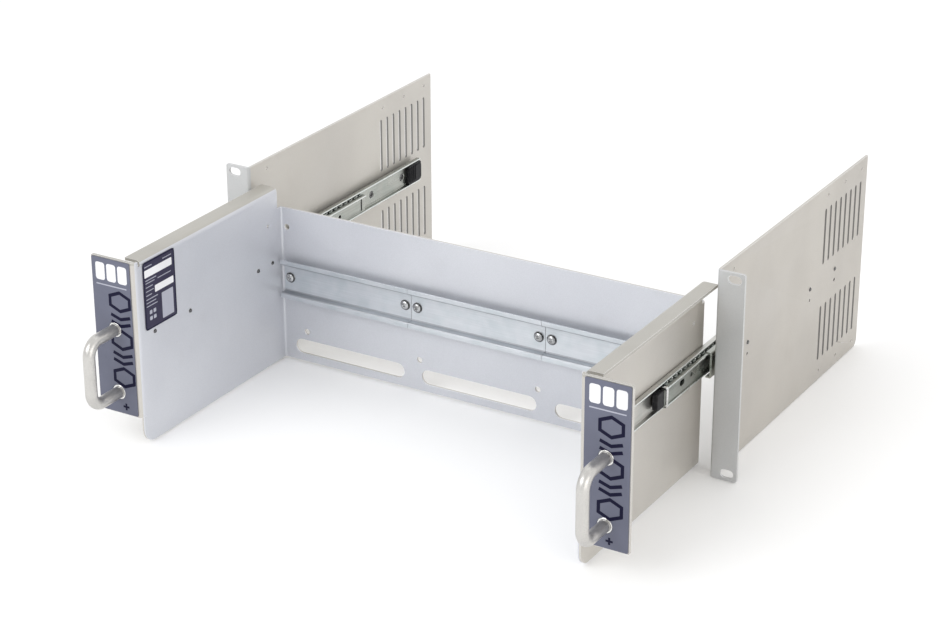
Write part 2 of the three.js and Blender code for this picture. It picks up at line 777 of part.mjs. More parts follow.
function frontOverlay() {
  const x = [WING_INNER_X + BEND_OUTER + 0.2, RACK_WIDTH / 2 - OVERLAY_MARGIN];
  const z = [FRONT_BOTTOM + OVERLAY_MARGIN, DRAWER_TOP - OVERLAY_MARGIN];
  const back = FRONT_Y - GAP;
  const sheet = prismAlongY(roundedRectangle(x, z, 1, 2), [back - OVERLAY_THICKNESS, back]);
  const holes = handleLegZs().map((legZ) =>
    prismAlongY(circleOutline(HANDLE_X, legZ, OVERLAY_HOLE, 20), [back - 2, back + 1]),
  );
  return cut(sheet, holes);
}

function infoLabel() {
  const face = -WING_INNER_X + GAP;
  return prismAlongX(roundedRectangle(LABEL_Y, LABEL_Z, LABEL_CORNER, 4), [face, face + LABEL_THICKNESS]);
}

// ---- put together -------------------------------------------------------------------

const SCREW_TIP = 0.8; // how far a slide screw's tip stands out of the sheet it holds
const HANDLE_SCREW_BITE = 8; // how deep a handle screw goes into the leg

for (const { name, sign } of SIDES) {
  place(`side_plate_${name}`, mirrored(sidePlate(), sign), FINISH.side);
  place(`cabinet_rail_${name}`, mirrored(cabinetRail(), sign), FINISH.zinc);
  place(`rail_stop_${name}`, mirrored(railStop(), sign), FINISH.black);
  place(`slide_beam_${name}`, mirrored(beam(), sign), FINISH.zinc);
  place(`beam_buffer_${name}`, mirrored(beamBuffer(), sign), FINISH.black);
  place(`outer_cage_${name}`, mirrored(outerCage(), sign), FINISH.zinc);
  place(`inner_cage_${name}`, mirrored(innerCage(), sign), FINISH.zinc);
  place(`drawer_rail_${name}`, mirrored(drawerRail(), sign), FINISH.zinc);
  place(`handle_${name}`, mirrored(handle(), sign), FINISH.aluminium);
  place(`front_overlay_${name}`, mirrored(frontOverlay(), sign), FINISH.overlay);
}

for (const { name, sign } of SIDES) {
  const cabinetHeadX = slideX(CABINET_RAIL_BACK - SLIDE_SHEET);
  const cabinetLength = slideX(SLIDE_GAP) + SIDE_THICKNESS + SCREW_TIP - cabinetHeadX;
  CABINET_SCREW_YS.forEach((y, index) => {
    const screw = alongX(countersunkScrew(SLIDE_SCREW, cabinetLength));
    const placed = screw.translate([cabinetHeadX, y, SLIDE_Z]);
    place(`cabinet_screw_${name}_${index + 1}`, mirrored(placed, sign), FINISH.screw);
    place(`rail_spacer_${name}_${index + 1}`, mirrored(railSpacer(y), sign), FINISH.black);
  });
  const drawerHeadX = slideX(DRAWER_RAIL_BACK + SLIDE_SHEET);
  const drawerLength = SLIDE_SHEET + GAP + SHEET + SCREW_TIP;
  DRAWER_SCREW_YS.forEach((y, index) => {
    const screw = alongX(countersunkScrew(SLIDE_SCREW, drawerLength)).mirror([1, 0, 0]);
    const placed = screw.translate([drawerHeadX, y, SLIDE_Z]);
    place(`drawer_screw_${name}_${index + 1}`, mirrored(placed, sign), FINISH.screw);
  });
  handleLegZs().forEach((z, index) => {
    const screw = countersunkScrew(HANDLE_SCREW, SHEET + GAP + HANDLE_SCREW_BITE).mirror([0, 1, 0]);
    const placed = screw.translate([HANDLE_X, FRONT_BACK_Y, z]);
    place(`handle_screw_${name}_${index + 1}`, mirrored(placed, sign), FINISH.screw);
  });
}

place("drawer_tray", drawerTray(), FINISH.drawer);
place("info_label", infoLabel(), FINISH.label);

for (let index = 0; index < RAIL_COUNT; index += 1) {
  place(`din_rail_${index + 1}`, dinRail(index), FINISH.dinRail);
}

railScrewXs().forEach((x, index) => {
  const headTop = WALL_Y - 2 * GAP - RAIL_SHEET - PAN_SCREW.headHeight;
  const screw = panScrew(WALL_Y + SHEET + 2 - headTop).translate([x, headTop, RAIL_Z]);
  place(`din_screw_${index + 1}`, screw, FINISH.screw);
});

export default assembly;
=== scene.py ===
"""Looks of the rack drawer chassis: finishes, finer slides, screws and handles, prints and light.

Everything is in metres, in the CAD model's own frame. X runs across the rack, Y runs into
the rack and Z is up. Sizes written with mm() are millimetres.
"""

import json
import math

import bmesh
import bpy
from mathutils import Matrix, Vector


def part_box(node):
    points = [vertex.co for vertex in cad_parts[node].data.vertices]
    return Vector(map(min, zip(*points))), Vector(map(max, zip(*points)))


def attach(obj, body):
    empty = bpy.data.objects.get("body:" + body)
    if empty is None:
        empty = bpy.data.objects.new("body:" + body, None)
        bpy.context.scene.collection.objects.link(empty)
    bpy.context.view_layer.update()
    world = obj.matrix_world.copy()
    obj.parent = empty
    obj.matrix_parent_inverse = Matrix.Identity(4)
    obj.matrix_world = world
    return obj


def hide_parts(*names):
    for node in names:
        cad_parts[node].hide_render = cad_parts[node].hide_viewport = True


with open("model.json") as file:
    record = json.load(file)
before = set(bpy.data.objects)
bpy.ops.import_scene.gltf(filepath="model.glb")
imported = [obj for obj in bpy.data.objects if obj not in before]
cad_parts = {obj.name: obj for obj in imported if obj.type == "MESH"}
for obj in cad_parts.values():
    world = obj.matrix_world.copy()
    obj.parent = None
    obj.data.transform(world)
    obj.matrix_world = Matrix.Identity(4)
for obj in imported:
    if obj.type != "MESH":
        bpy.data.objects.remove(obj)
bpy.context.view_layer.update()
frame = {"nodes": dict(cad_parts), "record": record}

SIDES = (("left", -1), ("right", 1))


def mm(value):
    return value / 1000


# ---- camera, light and floor ---------------------------------------------------------

CAMERA_PLACE = (0.9503, -1.6299, 0.9111)
CAMERA_AZIMUTH = math.radians(30.69)
CAMERA_ELEVATION = math.radians(23.84)
CAMERA_ROLL = math.radians(-0.13)
CAMERA_LENS = 94.4
CAMERA_SENSOR = 36.0

FLOOR_REACH = 80.0
FLOOR_HEIGHT = mm(-0.6)
ROOM_BRIGHTNESS = (0.86, 1.06)  # of the white room, from the camera's side to the far side
ROOM_CHANGE = (-0.9, 0.5)  # the y of the directions between which it changes

# Each light's name, place, size, power in watts and colour.
LIGHTS = (
    ("key", (-0.8, -1.9, 1.5), (1.8, 1.2), 20, (0.97, 0.985, 1.0)),
    ("right", (2.2, -1.1, 0.8), (2.0, 1.4), 14, (1.0, 0.975, 0.94)),
    ("top", (0, 0.8, 2.4), (2.4, 1.0), 3, (1.0, 1.0, 1.0)),
)
LIGHT_TARGET = Vector((0, 0, 0.08))

RAMP_INPUTS = ("From Min", "From Max", "To Min", "To Max")


def camera_rotation():
    """The camera's right, up and back directions as a matrix."""
    sin_a, cos_a = math.sin(CAMERA_AZIMUTH), math.cos(CAMERA_AZIMUTH)
    sin_e, cos_e = math.sin(CAMERA_ELEVATION), math.cos(CAMERA_ELEVATION)
    back = Vector((sin_a * cos_e, -cos_a * cos_e, sin_e))
    level_right = Vector((cos_a, sin_a, 0))
    level_up = back.cross(level_right)
    right = math.cos(CAMERA_ROLL) * level_right + math.sin(CAMERA_ROLL) * level_up
    up = math.cos(CAMERA_ROLL) * level_up - math.sin(CAMERA_ROLL) * level_right
    return Matrix((right, up, back)).transposed()


def add_camera():
    data = bpy.data.cameras.new("camera")
    data.lens = CAMERA_LENS
    data.sensor_width = CAMERA_SENSOR
    camera = bpy.data.objects.new("camera", data)
    camera.matrix_world = Matrix.Translation(CAMERA_PLACE) @ camera_rotation().to_4x4()
    bpy.context.scene.collection.objects.link(camera)
    bpy.context.scene.camera = camera


def add_area_light(name, place, size, power, color):
    data = bpy.data.lights.new(name, "AREA")
    data.shape = "RECTANGLE"
    data.size, data.size_y = size
    data.energy = power
    data.color = color
    light = bpy.data.objects.new(name, data)
    light.location = place
    light.rotation_mode = "QUATERNION"
    light.rotation_quaternion = (LIGHT_TARGET - Vector(place)).to_track_quat("-Z", "Y")
    bpy.context.scene.collection.objects.link(light)


def add_world():
    """A white room that is a little darker on the side the camera stands on."""
    world = bpy.data.worlds.new("studio")
    bpy.context.scene.world = world
    world.use_nodes = True
    tree = world.node_tree
    background = tree.nodes["Background"]
    direction = tree.nodes.new("ShaderNodeTexCoord")
    split = tree.nodes.new("ShaderNodeSeparateXYZ")
    ramp = tree.nodes.new("ShaderNodeMapRange")
    ramp.interpolation_type = "SMOOTHSTEP"
    for name, value in zip(RAMP_INPUTS, (*ROOM_CHANGE, *ROOM_BRIGHTNESS)):
        ramp.inputs[name].default_value = value
    tree.links.new(direction.outputs["Generated"], split.inputs["Vector"])
    tree.links.new(split.outputs["Y"], ramp.inputs["Value"])
    tree.links.new(ramp.outputs["Result"], background.inputs["Strength"])
    background.inputs["Color"].default_value = (1.0, 1.0, 1.0, 1.0)


def add_studio():
    for light in LIGHTS:
        add_area_light(*light)
    add_world()
    bpy.context.scene.view_settings.view_transform = "Standard"


def add_floor():
    mesh = bpy.data.meshes.new("floor")
    signs = ((-1, -1), (1, -1), (1, 1), (-1, 1))
    corners = [(a * FLOOR_REACH, b * FLOOR_REACH, FLOOR_HEIGHT) for a, b in signs]
    mesh.from_pydata(corners, [], [(0, 1, 2, 3)])
    floor = bpy.data.objects.new("floor", mesh)
    bpy.context.scene.collection.objects.link(floor)
    floor.data.materials.append(floor_material())


# ---- materials -----------------------------------------------------------------------

WARM_SILVER = (0.590, 0.566, 0.524)
COOL_SILVER = (0.630, 0.643, 0.680)
# painted shade: the upward-facing top flanges are darker
TOP_SHADE_SILVER = (0.480, 0.465, 0.425)
# painted shade: the front-facing ears get a cooler tone set for how light falls on them
EAR_SHADE_SILVER = (0.555, 0.562, 0.562)
# painted shade: the side plates' outside faces are darker than their insides
OUTER_SHADE_SILVER = (0.515, 0.489, 0.448)
# painted highlight and wear along the sheets' sharp edges
WEAR_AND_HIGHLIGHT_SILVER = (0.82, 0.82, 0.83)
# painted shade on the walls of the punched vents, where little light reaches
VENT_WALL_SHADE = (0.25, 0.245, 0.235)
ZINC = (0.34, 0.365, 0.345)
DIN_ZINC = (0.66, 0.685, 0.72)
# painted shade on the folded walls of the DIN rails
FOLD_SHADE_ZINC = (0.43, 0.445, 0.47)
# painted highlight and wear along the zinc plate's sharp edges
WEAR_AND_HIGHLIGHT_ZINC = (0.86, 0.88, 0.88)

FULL = (0.0, 1.0)
NOISE_MIDDLE = (0.3, 0.7)  # where most of the noise's values lie
NO_STRETCH = (1, 1, 1)


class Finish:
    """A Principled material with short ways to add and join nodes."""

    def __init__(self, name, roughness, metallic):
        self.material = bpy.data.materials.new(name)
        self.material.use_nodes = True
        self.tree = self.material.node_tree
        self.shader = self.tree.nodes["Principled BSDF"]
        self.shader.inputs["Roughness"].default_value = roughness
        self.shader.inputs["Metallic"].default_value = metallic
        self.place = self.add("ShaderNodeTexCoord").outputs["Object"]

    def feed(self, socket, value):
        """Gives a socket a number, a vector, a colour or another node's output."""
        if isinstance(value, bpy.types.NodeSocket):
            self.tree.links.new(value, socket)
        elif socket.type == "RGBA":
            socket.default_value = (*value, 1.0)
        else:
            socket.default_value = value

    def add(self, kind, inputs=(), **settings):
        """A node with attributes set from settings and inputs fed from (input, value) pairs."""
        node = self.tree.nodes.new(kind)
        for key, value in settings.items():
            setattr(node, key, value)
        for name, value in inputs:
            self.feed(node.inputs[name], value)
        return node

    def noise(self, scale, detail, stretch=NO_STRETCH):
        """Noise from 0 to 1. Scale is per metre, and stretch multiplies each axis."""
        mapping = self.add("ShaderNodeMapping", [("Vector", self.place), ("Scale", stretch)])
        stretched = ("Vector", mapping.outputs["Vector"])
        noise = self.add("ShaderNodeTexNoise", [stretched, ("Scale", scale), ("Detail", detail)])
        return noise.outputs["Fac"]

    def ramp(self, value, source, target):
        """value from the source range to the target range, clamped."""
        inputs = [("Value", value), *zip(RAMP_INPUTS, (*source, *target))]
        node = self.add("ShaderNodeMapRange", inputs, interpolation_type="SMOOTHSTEP")
        return node.outputs["Result"]

    def patches(self, scale, detail, source=NOISE_MIDDLE, target=FULL, stretch=NO_STRETCH):
        """Noise with its source range spread over the target range."""
        return self.ramp(self.noise(scale, detail, stretch), source, target)

    def math(self, operation, *values):
        node = self.add("ShaderNodeMath", operation=operation)
        for socket, value in zip(node.inputs, values):
            self.feed(socket, value)
        return node.outputs["Value"]

    def mix(self, factor, first, second, blend="MIX"):
        """A colour between first and second, each of which is a colour or an output."""
        node = self.add("ShaderNodeMix", data_type="RGBA", blend_type=blend)
        color_sockets = [socket for socket in node.inputs if socket.type == "RGBA"]
        for socket, value in zip((node.inputs["Factor"], *color_sockets), (factor, first, second)):
            self.feed(socket, value)
        return next(socket for socket in node.outputs if socket.type == "RGBA")

    def place_axes(self):
        """The x, y and z of the point being shaded."""
        split = self.add("ShaderNodeSeparateXYZ", [("Vector", self.place)])
        return split.outputs["X"], split.outputs["Y"], split.outputs["Z"]

    def color(self, output):
        self.feed(self.shader.inputs["Base Color"], output)

    def roughness(self, scale, detail, low, high):
        """Roughness between low and high, in patches."""
        output = self.patches(scale, detail, target=(low, high))
        self.feed(self.shader.inputs["Roughness"], output)

    def bump(self, height, strength, depth):
        inputs = [("Height", height), ("Strength", strength), ("Distance", depth)]
        node = self.add("ShaderNodeBump", inputs)
        self.feed(self.shader.inputs["Normal"], node.outputs["Normal"])


EDGE_TURN = (0.995, 0.9)  # cosines of the turn at an edge's outer border and at the edge
SHEET_EDGE = mm(0.5)
PLATED_EDGE = mm(0.3)


def edge_light(finish, radius):
    """1 along sharp edges, where a painted highlight and wear brighten the finish, and 0 on the flats.
    """
    bevel = finish.add("ShaderNodeBevel", [("Radius", radius)], samples=4)
    geometry = finish.add("ShaderNodeNewGeometry")
    dot = finish.add(
        "ShaderNodeVectorMath",
        [(0, bevel.outputs["Normal"]), (1, geometry.outputs["Normal"])],
        operation="DOT_PRODUCT",
    )
    return finish.ramp(dot.outputs["Value"], EDGE_TURN, FULL)


def shade(color, factor):
    return tuple(channel * factor for channel in color)


SOFT_STEP = mm(0.1)


def beyond(finish, value, limit, soft=SOFT_STEP):
    """1 where value is over limit, and 0 under it."""
    return finish.ramp(value, (limit - soft, limit + soft), FULL)


def between(finish, value, low, high, soft=SOFT_STEP):
    """1 where value lies from low to high, and 0 outside."""
    below = finish.ramp(value, (high - soft, high + soft), (1.0, 0.0))
    return finish.math("MULTIPLY", beyond(finish, value, low, soft), below)


def sheet_finish(name, color_of):
    """Satin silver sheet: fine blasted grain, faint handling marks, and sharp edges brightened by a
    painted highlight and wear.

    color_of(finish) returns the base colour and how strongly the painted edge highlight and wear show,
    from 0 to 1.
    """
    finish = Finish(name, roughness=0.42, metallic=0.45)
    base, edge_wear_and_highlight = color_of(finish)
    cloud = finish.patches(9, 2.0)
    smudge = finish.patches(34, 6.0, (0.58, 0.78), (0.0, 0.35))
    speckle = finish.patches(1500, 2.0)
    clouded = finish.mix(cloud, base, (0.93, 0.93, 0.94), "MULTIPLY")
    smudged = finish.mix(smudge, clouded, (0.92, 0.91, 0.9), "MULTIPLY")
    speckled = finish.mix(speckle, smudged, (0.95, 0.95, 0.95), "MULTIPLY")
    edges = finish.math("MULTIPLY", edge_light(finish, SHEET_EDGE), edge_wear_and_highlight)
    finish.color(finish.mix(edges, speckled, WEAR_AND_HIGHLIGHT_SILVER))
    finish.roughness(22, 5.0, 0.36, 0.48)
    finish.bump(finish.noise(2600, 2.0), strength=0.12, depth=mm(0.05))
    return finish.material


PLATE_SHEET = mm(2)
VENTS_START = mm(89)  # from the plate's rear edge to just before the first vent
VENTS_END = mm(4)  # from the plate's rear edge to just behind the last vent
VENTS_INSET = mm(16)  # from the plate's top and bottom edges to just outside the vents
CUT_MARGIN = mm(0.06)  # between a face of the sheet and the painted shade on the walls of a cut through it
CUT_SOFT = mm(0.03)
EAR_BACK = mm(2.6)  # from the ears' front face to just behind their sheet
EAR_SOFT = mm(0.6)


def side_sheet():
    """Warm silver, with painted shade on the outside faces, on the cooler ears and on the walls of the
    punched vents.
    """
    low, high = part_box("side_plate_right")
    inner = low.x
    outer = inner + PLATE_SHEET
    ear_back = low.y + EAR_BACK

    def color_of(finish):
        x, y, z = finish.place_axes()
        across = finish.math("ABSOLUTE", x)
        in_depth = between(finish, y, high.y - VENTS_START, high.y - VENTS_END)
        in_height = between(finish, z, low.z + VENTS_INSET, high.z - VENTS_INSET)
        in_vents = finish.math("MULTIPLY", in_depth, in_height)
        in_sheet = between(finish, across, inner + CUT_MARGIN, outer - CUT_MARGIN, CUT_SOFT)
        # painted shade on the walls of the vents
        vent_shade_mask = finish.math("MULTIPLY", in_sheet, in_vents)
        # painted shade on the plates' outside faces
        outside = beyond(finish, across, outer - 2 * SOFT_STEP)
        plates = finish.mix(vent_shade_mask, finish.mix(outside, WARM_SILVER, OUTER_SHADE_SILVER), VENT_WALL_SHADE)
        # painted shade on the ears
        ears = finish.ramp(y, (ear_back - EAR_SOFT, ear_back), (1.0, 0.0))
        # the painted edge highlight is left out in the vents
        return finish.mix(ears, plates, EAR_SHADE_SILVER), finish.math("SUBTRACT", 1.0, in_vents)

    return sheet_finish("side_sheet", color_of)


WALL_SHEET_MIDDLE = mm(1.5)  # from the DIN rails' backs to the middle of the rear wall's sheet
WING_SHEET_MIDDLE = mm(199.5)
TOP_FLANGE = mm(2.6)  # from the top of the drawer to just under its top flanges
TOP_SOFT = mm(0.6)


def drawer_sheet():
    """Cool on the faces that look into the drawer, warm behind them, with painted shade on the top
    flanges.
    """
    wall_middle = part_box("din_rail_1")[1].y + WALL_SHEET_MIDDLE
    flange_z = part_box("drawer_tray")[1].z - TOP_FLANGE

    def color_of(finish):
        x, y, z = finish.place_axes()
        outside = beyond(finish, finish.math("ABSOLUTE", x), WING_SHEET_MIDDLE)
        behind = beyond(finish, y, wall_middle)
        # painted shade on the top flanges
        top = finish.ramp(z, (flange_z, flange_z + TOP_SOFT), FULL)
        sides = finish.mix(finish.math("MAXIMUM", outside, behind), COOL_SILVER, WARM_SILVER)
        return finish.mix(finish.math("MULTIPLY", top, outside), sides, TOP_SHADE_SILVER), 1.0

    return sheet_finish("drawer_sheet", color_of)


RAIL_FOLD = (mm(11.4), mm(13.7))  # from a DIN rail's middle to its folded walls


def rail_fold_shade(finish):
    """1 on the folded walls between a DIN rail's web and its lips, which carry painted shade, and 0
    elsewhere.
    """
    low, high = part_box("din_rail_1")
    z = finish.place_axes()[2]
    from_middle = finish.math("SUBTRACT", z, (low.z + high.z) / 2)
    return between(finish, finish.math("ABSOLUTE", from_middle), *RAIL_FOLD)


def plated_steel(name, color, roughness, streak_depth, stretch, shade_where=None):
    """Zinc plate: rolled streaks along the piece, a mottled sheen, and a painted highlight with wear
    along the edges.

    The last argument, a function of finish, is 1 where painted shade darkens the plate, as in a DIN
    rail's folds.
    """
    finish = Finish(name, roughness=roughness, metallic=0.95)
    streak = finish.patches(900, 3.0, stretch=stretch)
    mottle = finish.patches(70, 4.0, (0.35, 0.7))
    streaked = finish.mix(streak, color, shade(color, streak_depth))
    mottled = finish.mix(mottle, streaked, (0.9, 0.93, 0.93), "MULTIPLY")
    # painted shade where the plate folds
    fold_shaded = finish.mix(shade_where(finish), mottled, FOLD_SHADE_ZINC) if shade_where else mottled
    # painted highlight and wear along the edges
    finish.color(finish.mix(edge_light(finish, PLATED_EDGE), fold_shaded, WEAR_AND_HIGHLIGHT_ZINC))
    finish.roughness(60, 4.0, roughness - 0.06, roughness + 0.08)
    finish.bump(finish.noise(1100, 2.0, stretch), strength=0.1, depth=mm(0.04))
    return finish.material


def screw_steel(name, bright, dull):
    finish = Finish(name, roughness=0.24, metallic=1.0)
    tarnish = finish.patches(400, 3.0, (0.4, 0.7))
    finish.color(finish.mix(tarnish, bright, dull))
    finish.bump(finish.noise(1800, 2.0), strength=0.1, depth=mm(0.04))
    return finish.material


def ball_steel():
    finish = Finish("ball_steel", roughness=0.12, metallic=1.0)
    grease = finish.patches(500, 3.0, (0.4, 0.7))
    finish.color(finish.mix(grease, (0.72, 0.73, 0.74), (0.5, 0.49, 0.44)))
    return finish.material


def handle_bar():
    """Satin drawn aluminium, with faint rings from polishing."""
    finish = Finish("handle_bar", roughness=0.36, metallic=0.8)
    ring = finish.patches(1400, 2.0, stretch=(1, 0.2, 1))
    wear = finish.patches(60, 5.0, (0.45, 0.75))
    ringed = finish.mix(ring, (0.60, 0.585, 0.56), (0.53, 0.52, 0.50))
    finish.color(finish.mix(wear, ringed, (0.93, 0.93, 0.93), "MULTIPLY"))
    finish.roughness(90, 4.0, 0.28, 0.42)
    finish.bump(finish.noise(2400, 2.0), strength=0.08, depth=mm(0.04))
    return finish.material


def black_rubber():
    finish = Finish("black_rubber", roughness=0.5, metallic=0.0)
    finish.shader.inputs["Specular IOR Level"].default_value = 0.22
    dust = finish.patches(300, 5.0, (0.5, 0.8))
    finish.color(finish.mix(dust, (0.012, 0.012, 0.014), (0.035, 0.035, 0.036)))
    finish.bump(finish.noise(1500, 3.0), strength=0.25, depth=mm(0.08))
    return finish.material


def printed_film(name, color, roughness, specular):
    """Printed film with a slightly pebbled skin."""
    finish = Finish(name, roughness=roughness, metallic=0.0)
    finish.shader.inputs["Specular IOR Level"].default_value = specular
    cloud = finish.patches(25, 3.0)
    finish.color(finish.mix(cloud, color, shade(color, 0.9)))
    finish.roughness(160, 3.0, roughness - 0.05, roughness + 0.07)
    finish.bump(finish.noise(1900, 2.0), strength=0.12, depth=mm(0.03))
    return finish.material


def floor_material():
    finish = Finish("floor", roughness=0.7, metallic=0.0)
    cloud = finish.patches(1.5, 2.0)
    finish.color(finish.mix(cloud, (0.96, 0.96, 0.96), (0.95, 0.95, 0.95)))
    return finish.material


MATERIALS = {
    "side_sheet": side_sheet(),
    "drawer_sheet": drawer_sheet(),
    "slide_steel": plated_steel("slide_steel", ZINC, 0.26, 0.86, (1, 0.03, 1)),
    "slide_web": plated_steel("slide_web", (0.44, 0.45, 0.415), 0.28, 0.88, (1, 0.03, 1)),
    "slide_pale": plated_steel("slide_pale", (0.60, 0.59, 0.56), 0.34, 0.9, (1, 0.03, 1)),
    # painted highlight on the lip and flange ends of the slides
    "slide_edge": plated_steel("slide_edge", (0.74, 0.76, 0.74), 0.2, 0.92, (1, 0.03, 1)),
    "din_steel": plated_steel("din_steel", DIN_ZINC, 0.42, 0.94, (0.03, 1, 1), rail_fold_shade),
    "screw_steel": screw_steel("screw_steel", (0.5, 0.51, 0.52), (0.34, 0.34, 0.34)),
    "screw_dark": screw_steel("screw_dark", (0.15, 0.15, 0.15), (0.07, 0.07, 0.07)),
    "ball_steel": ball_steel(),
    "handle_bar": handle_bar(),
    "bright_ring": screw_steel("bright_ring", (0.86, 0.86, 0.85), (0.74, 0.74, 0.73)),
    "black_rubber": black_rubber(),
    "overlay_film": printed_film("overlay_film", (0.130, 0.138, 0.188), 0.45, 0.3),
    "label_film": printed_film("label_film", (0.026, 0.022, 0.055), 0.4, 0.3),
    "ink_dark": printed_film("ink_dark", (0.006, 0.006, 0.026), 0.5, 0.12),
    "ink_white": printed_film("ink_white", (0.80, 0.80, 0.82), 0.45, 0.3),
    "ink_light": printed_film("ink_light", (0.42, 0.43, 0.50), 0.45, 0.3),
}


# ---- mesh helpers --------------------------------------------------------------------

SHARP_ANGLE = math.radians(34)
RING_STEPS = 40


def arc(center, radius, start, end, steps):
    """Points along an arc in a plane; the angles are in degrees."""
    points = []
    for i in range(steps + 1):
        angle = math.radians(start + (end - start) * i / steps)
        points.append((center[0] + radius * math.cos(angle), center[1] + radius * math.sin(angle)))
    return points


def round_rectangle(across, up, radius, steps):
    """Points round a rectangle with round corners; across and up are (low, high) pairs."""
    points = []
    for start, a, b in (
        (0, across[1] - radius, up[1] - radius),
        (90, across[0] + radius, up[1] - radius),
        (180, across[0] + radius, up[0] + radius),
        (270, across[1] - radius, up[0] + radius),
    ):
        points += arc((a, b), radius, start, start + 90, steps)
    return points


def join_rings(bm, first, second):
    """Faces all the way round between two closed rows of as many vertices."""
    for i in range(len(first)):
        j = (i + 1) % len(first)
        bm.faces.new((first[i], first[j], second[j], second[i]))


def shade_by_angle(bm):
    """Smooth faces, with an edge kept sharp where it turns further than SHARP_ANGLE."""
    for face in bm.faces:
        face.smooth = True
    for edge in bm.edges:
        if len(edge.link_faces) == 2:
            edge.smooth = edge.calc_face_angle(0.0) < SHARP_ANGLE


def finished_mesh(bm, name):
    bmesh.ops.recalc_face_normals(bm, faces=bm.faces)
    shade_by_angle(bm)
    mesh = bpy.data.meshes.new(name)
    bm.to_mesh(mesh)
    bm.free()
    return mesh


def add_piece(name, bm, body, materials, replaces=()):
    """A new piece on a body; materials is one name, or a tuple in the order of the faces' indices."""
    piece = bpy.data.objects.new(name, finished_mesh(bm, name))
    bpy.context.scene.collection.objects.link(piece)
    for material in (materials,) if isinstance(materials, str) else materials:
        piece.data.materials.append(MATERIALS[material])
    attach(piece, body)
    if replaces:
        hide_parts(*replaces)
    return piece


def add_bevel(piece, width):
    bevel = piece.modifiers.new("bevel", "BEVEL")
    bevel.width = width
    bevel.segments = 2
    bevel.limit_method = "ANGLE"
    return bevel


def add_prism(bm, outline, length, to_place):
    """A closed prism: outline is points (a, b), and to_place turns (a, b, along) into x, y, z."""
    near = [bm.verts.new(to_place(a, b, length[0])) for a, b in outline]
    far = [bm.verts.new(to_place(a, b, length[1])) for a, b in outline]
    bm.faces.new(near)
    bm.faces.new(far)
    join_rings(bm, near, far)


def prism(outline, length, to_place):
    bm = bmesh.new()
    add_prism(bm, outline, length, to_place)
    return bm


DENT_REACH = mm(0.4)  # how far below the first ring a point still belongs to the top


def lathe(rings, steps, to_place, dent=None):
    """A turned solid from (radius, height) rings. dent(a, b) lowers the points of the top."""
    bm = bmesh.new()
    rows = []
    for radius, height in rings:
        if radius == 0:
            drop = dent(0, 0) if dent and not rows else 0
            rows.append([bm.verts.new(to_place(0, 0, height + drop))])
            continue
        row = []
        for i in range(steps):
            angle = 2 * math.pi * i / steps
            a, b = radius * math.cos(angle), radius * math.sin(angle)
            drop = dent(a, b) if dent and height <= rings[0][1] + DENT_REACH else 0
            row.append(bm.verts.new(to_place(a, b, height + drop)))
        rows.append(row)
    for upper, lower in zip(rows, rows[1:]):
        for i in range(steps):
            j = (i + 1) % steps
            upper_pair = [upper[i % len(upper)], upper[j % len(upper)]]
            lower_pair = [lower[j % len(lower)], lower[i % len(lower)]]
            bm.faces.new(list(dict.fromkeys(upper_pair + lower_pair)))
    return bm


def ring_solid(center, section):
    """A ring about a line along Y through center (x, z), from the (radius, y) points of its section."""
    bm = bmesh.new()
    rows = []
    for radius, y in section:
        points = arc(center, radius, 0, 360, RING_STEPS)[:-1]
        rows.append([bm.verts.new((x, y, z)) for x, z in points])
    for first, second in zip(rows, [*rows[1:], rows[0]]):
        join_rings(bm, first, second)
    return bm


def cut_holes(bm, cutters):
    """The solid with the cutters' solids taken away from it."""
    solids = []
    for solid in (bm, *cutters):
        solids.append(bpy.data.objects.new("solid", finished_mesh(solid, "solid")))
        bpy.context.scene.collection.objects.link(solids[-1])
    target, *tools = solids
    for tool in tools:
        modifier = target.modifiers.new("hole", "BOOLEAN")
        modifier.operation = "DIFFERENCE"
        modifier.solver = "EXACT"
        modifier.object = tool
    graph = bpy.context.evaluated_depsgraph_get()
    result = bmesh.new()
    result.from_object(target, graph)
    for solid in solids:
        bpy.data.objects.remove(solid)
    return result


# ---- screws --------------------------------------------------------------------------

RECESS_LENGTH = mm(3.9)
RECESS_WIDTH = mm(1.05)
RECESS_DEPTH = mm(1.1)
RECESS_CENTER = 1.15  # width at the centre, as a share of RECESS_WIDTH
RECESS_TAPER = 0.5  # how much of that width is lost at the ends
RECESS_RISE = 0.75  # how much of the depth is lost at the ends
THREAD_PITCH = mm(0.7)
THREAD_DEPTH = mm(0.22)
TIP_CHAMFER = mm(0.4)
RING_GAP = mm(0.01)


def cross_dent(a, b):
    """How far a point on a screw head is pushed in by its cross recess."""
    reach = max(abs(a), abs(b))
    off_axis = min(abs(a), abs(b))
    share = reach / (RECESS_LENGTH / 2)
    half_width = RECESS_WIDTH / 2 * (RECESS_CENTER - RECESS_TAPER * share)
    if share > 1 or off_axis > half_width:
        return 0
    return RECESS_DEPTH * (1 - RECESS_RISE * share)


def thread_rings(radius, start, end):
    """Rings that go in and out like a thread, ending in a small chamfer."""
    rings = []
    height = start
    while height + THREAD_PITCH < end - TIP_CHAMFER:
        rings.append((radius, height))
        rings.append((radius - THREAD_DEPTH, height + THREAD_PITCH / 2))
        height += THREAD_PITCH
    rings.append((radius, max(height, start + RING_GAP)))
    rings.append((radius - TIP_CHAMFER, end))
    rings.append((0, end))
    return rings


HEAD_RINGS = 9
HEAD_CHAMFER = mm(0.25)
HEAD_RIM = mm(0.15)
THREAD_START = mm(0.3)  # below the head
UNDERSIDE = mm(0.02)  # depth of the step from a pan head to its shank
SCREW_STEPS = 32


def head_rings(radius, crown):
    """The top of a head from its middle outward; crown is how far the edge drops."""
    shares = [i / HEAD_RINGS for i in range(1, HEAD_RINGS + 1)]
    return [(0, 0), *((radius * share, crown * share * share) for share in shares)]


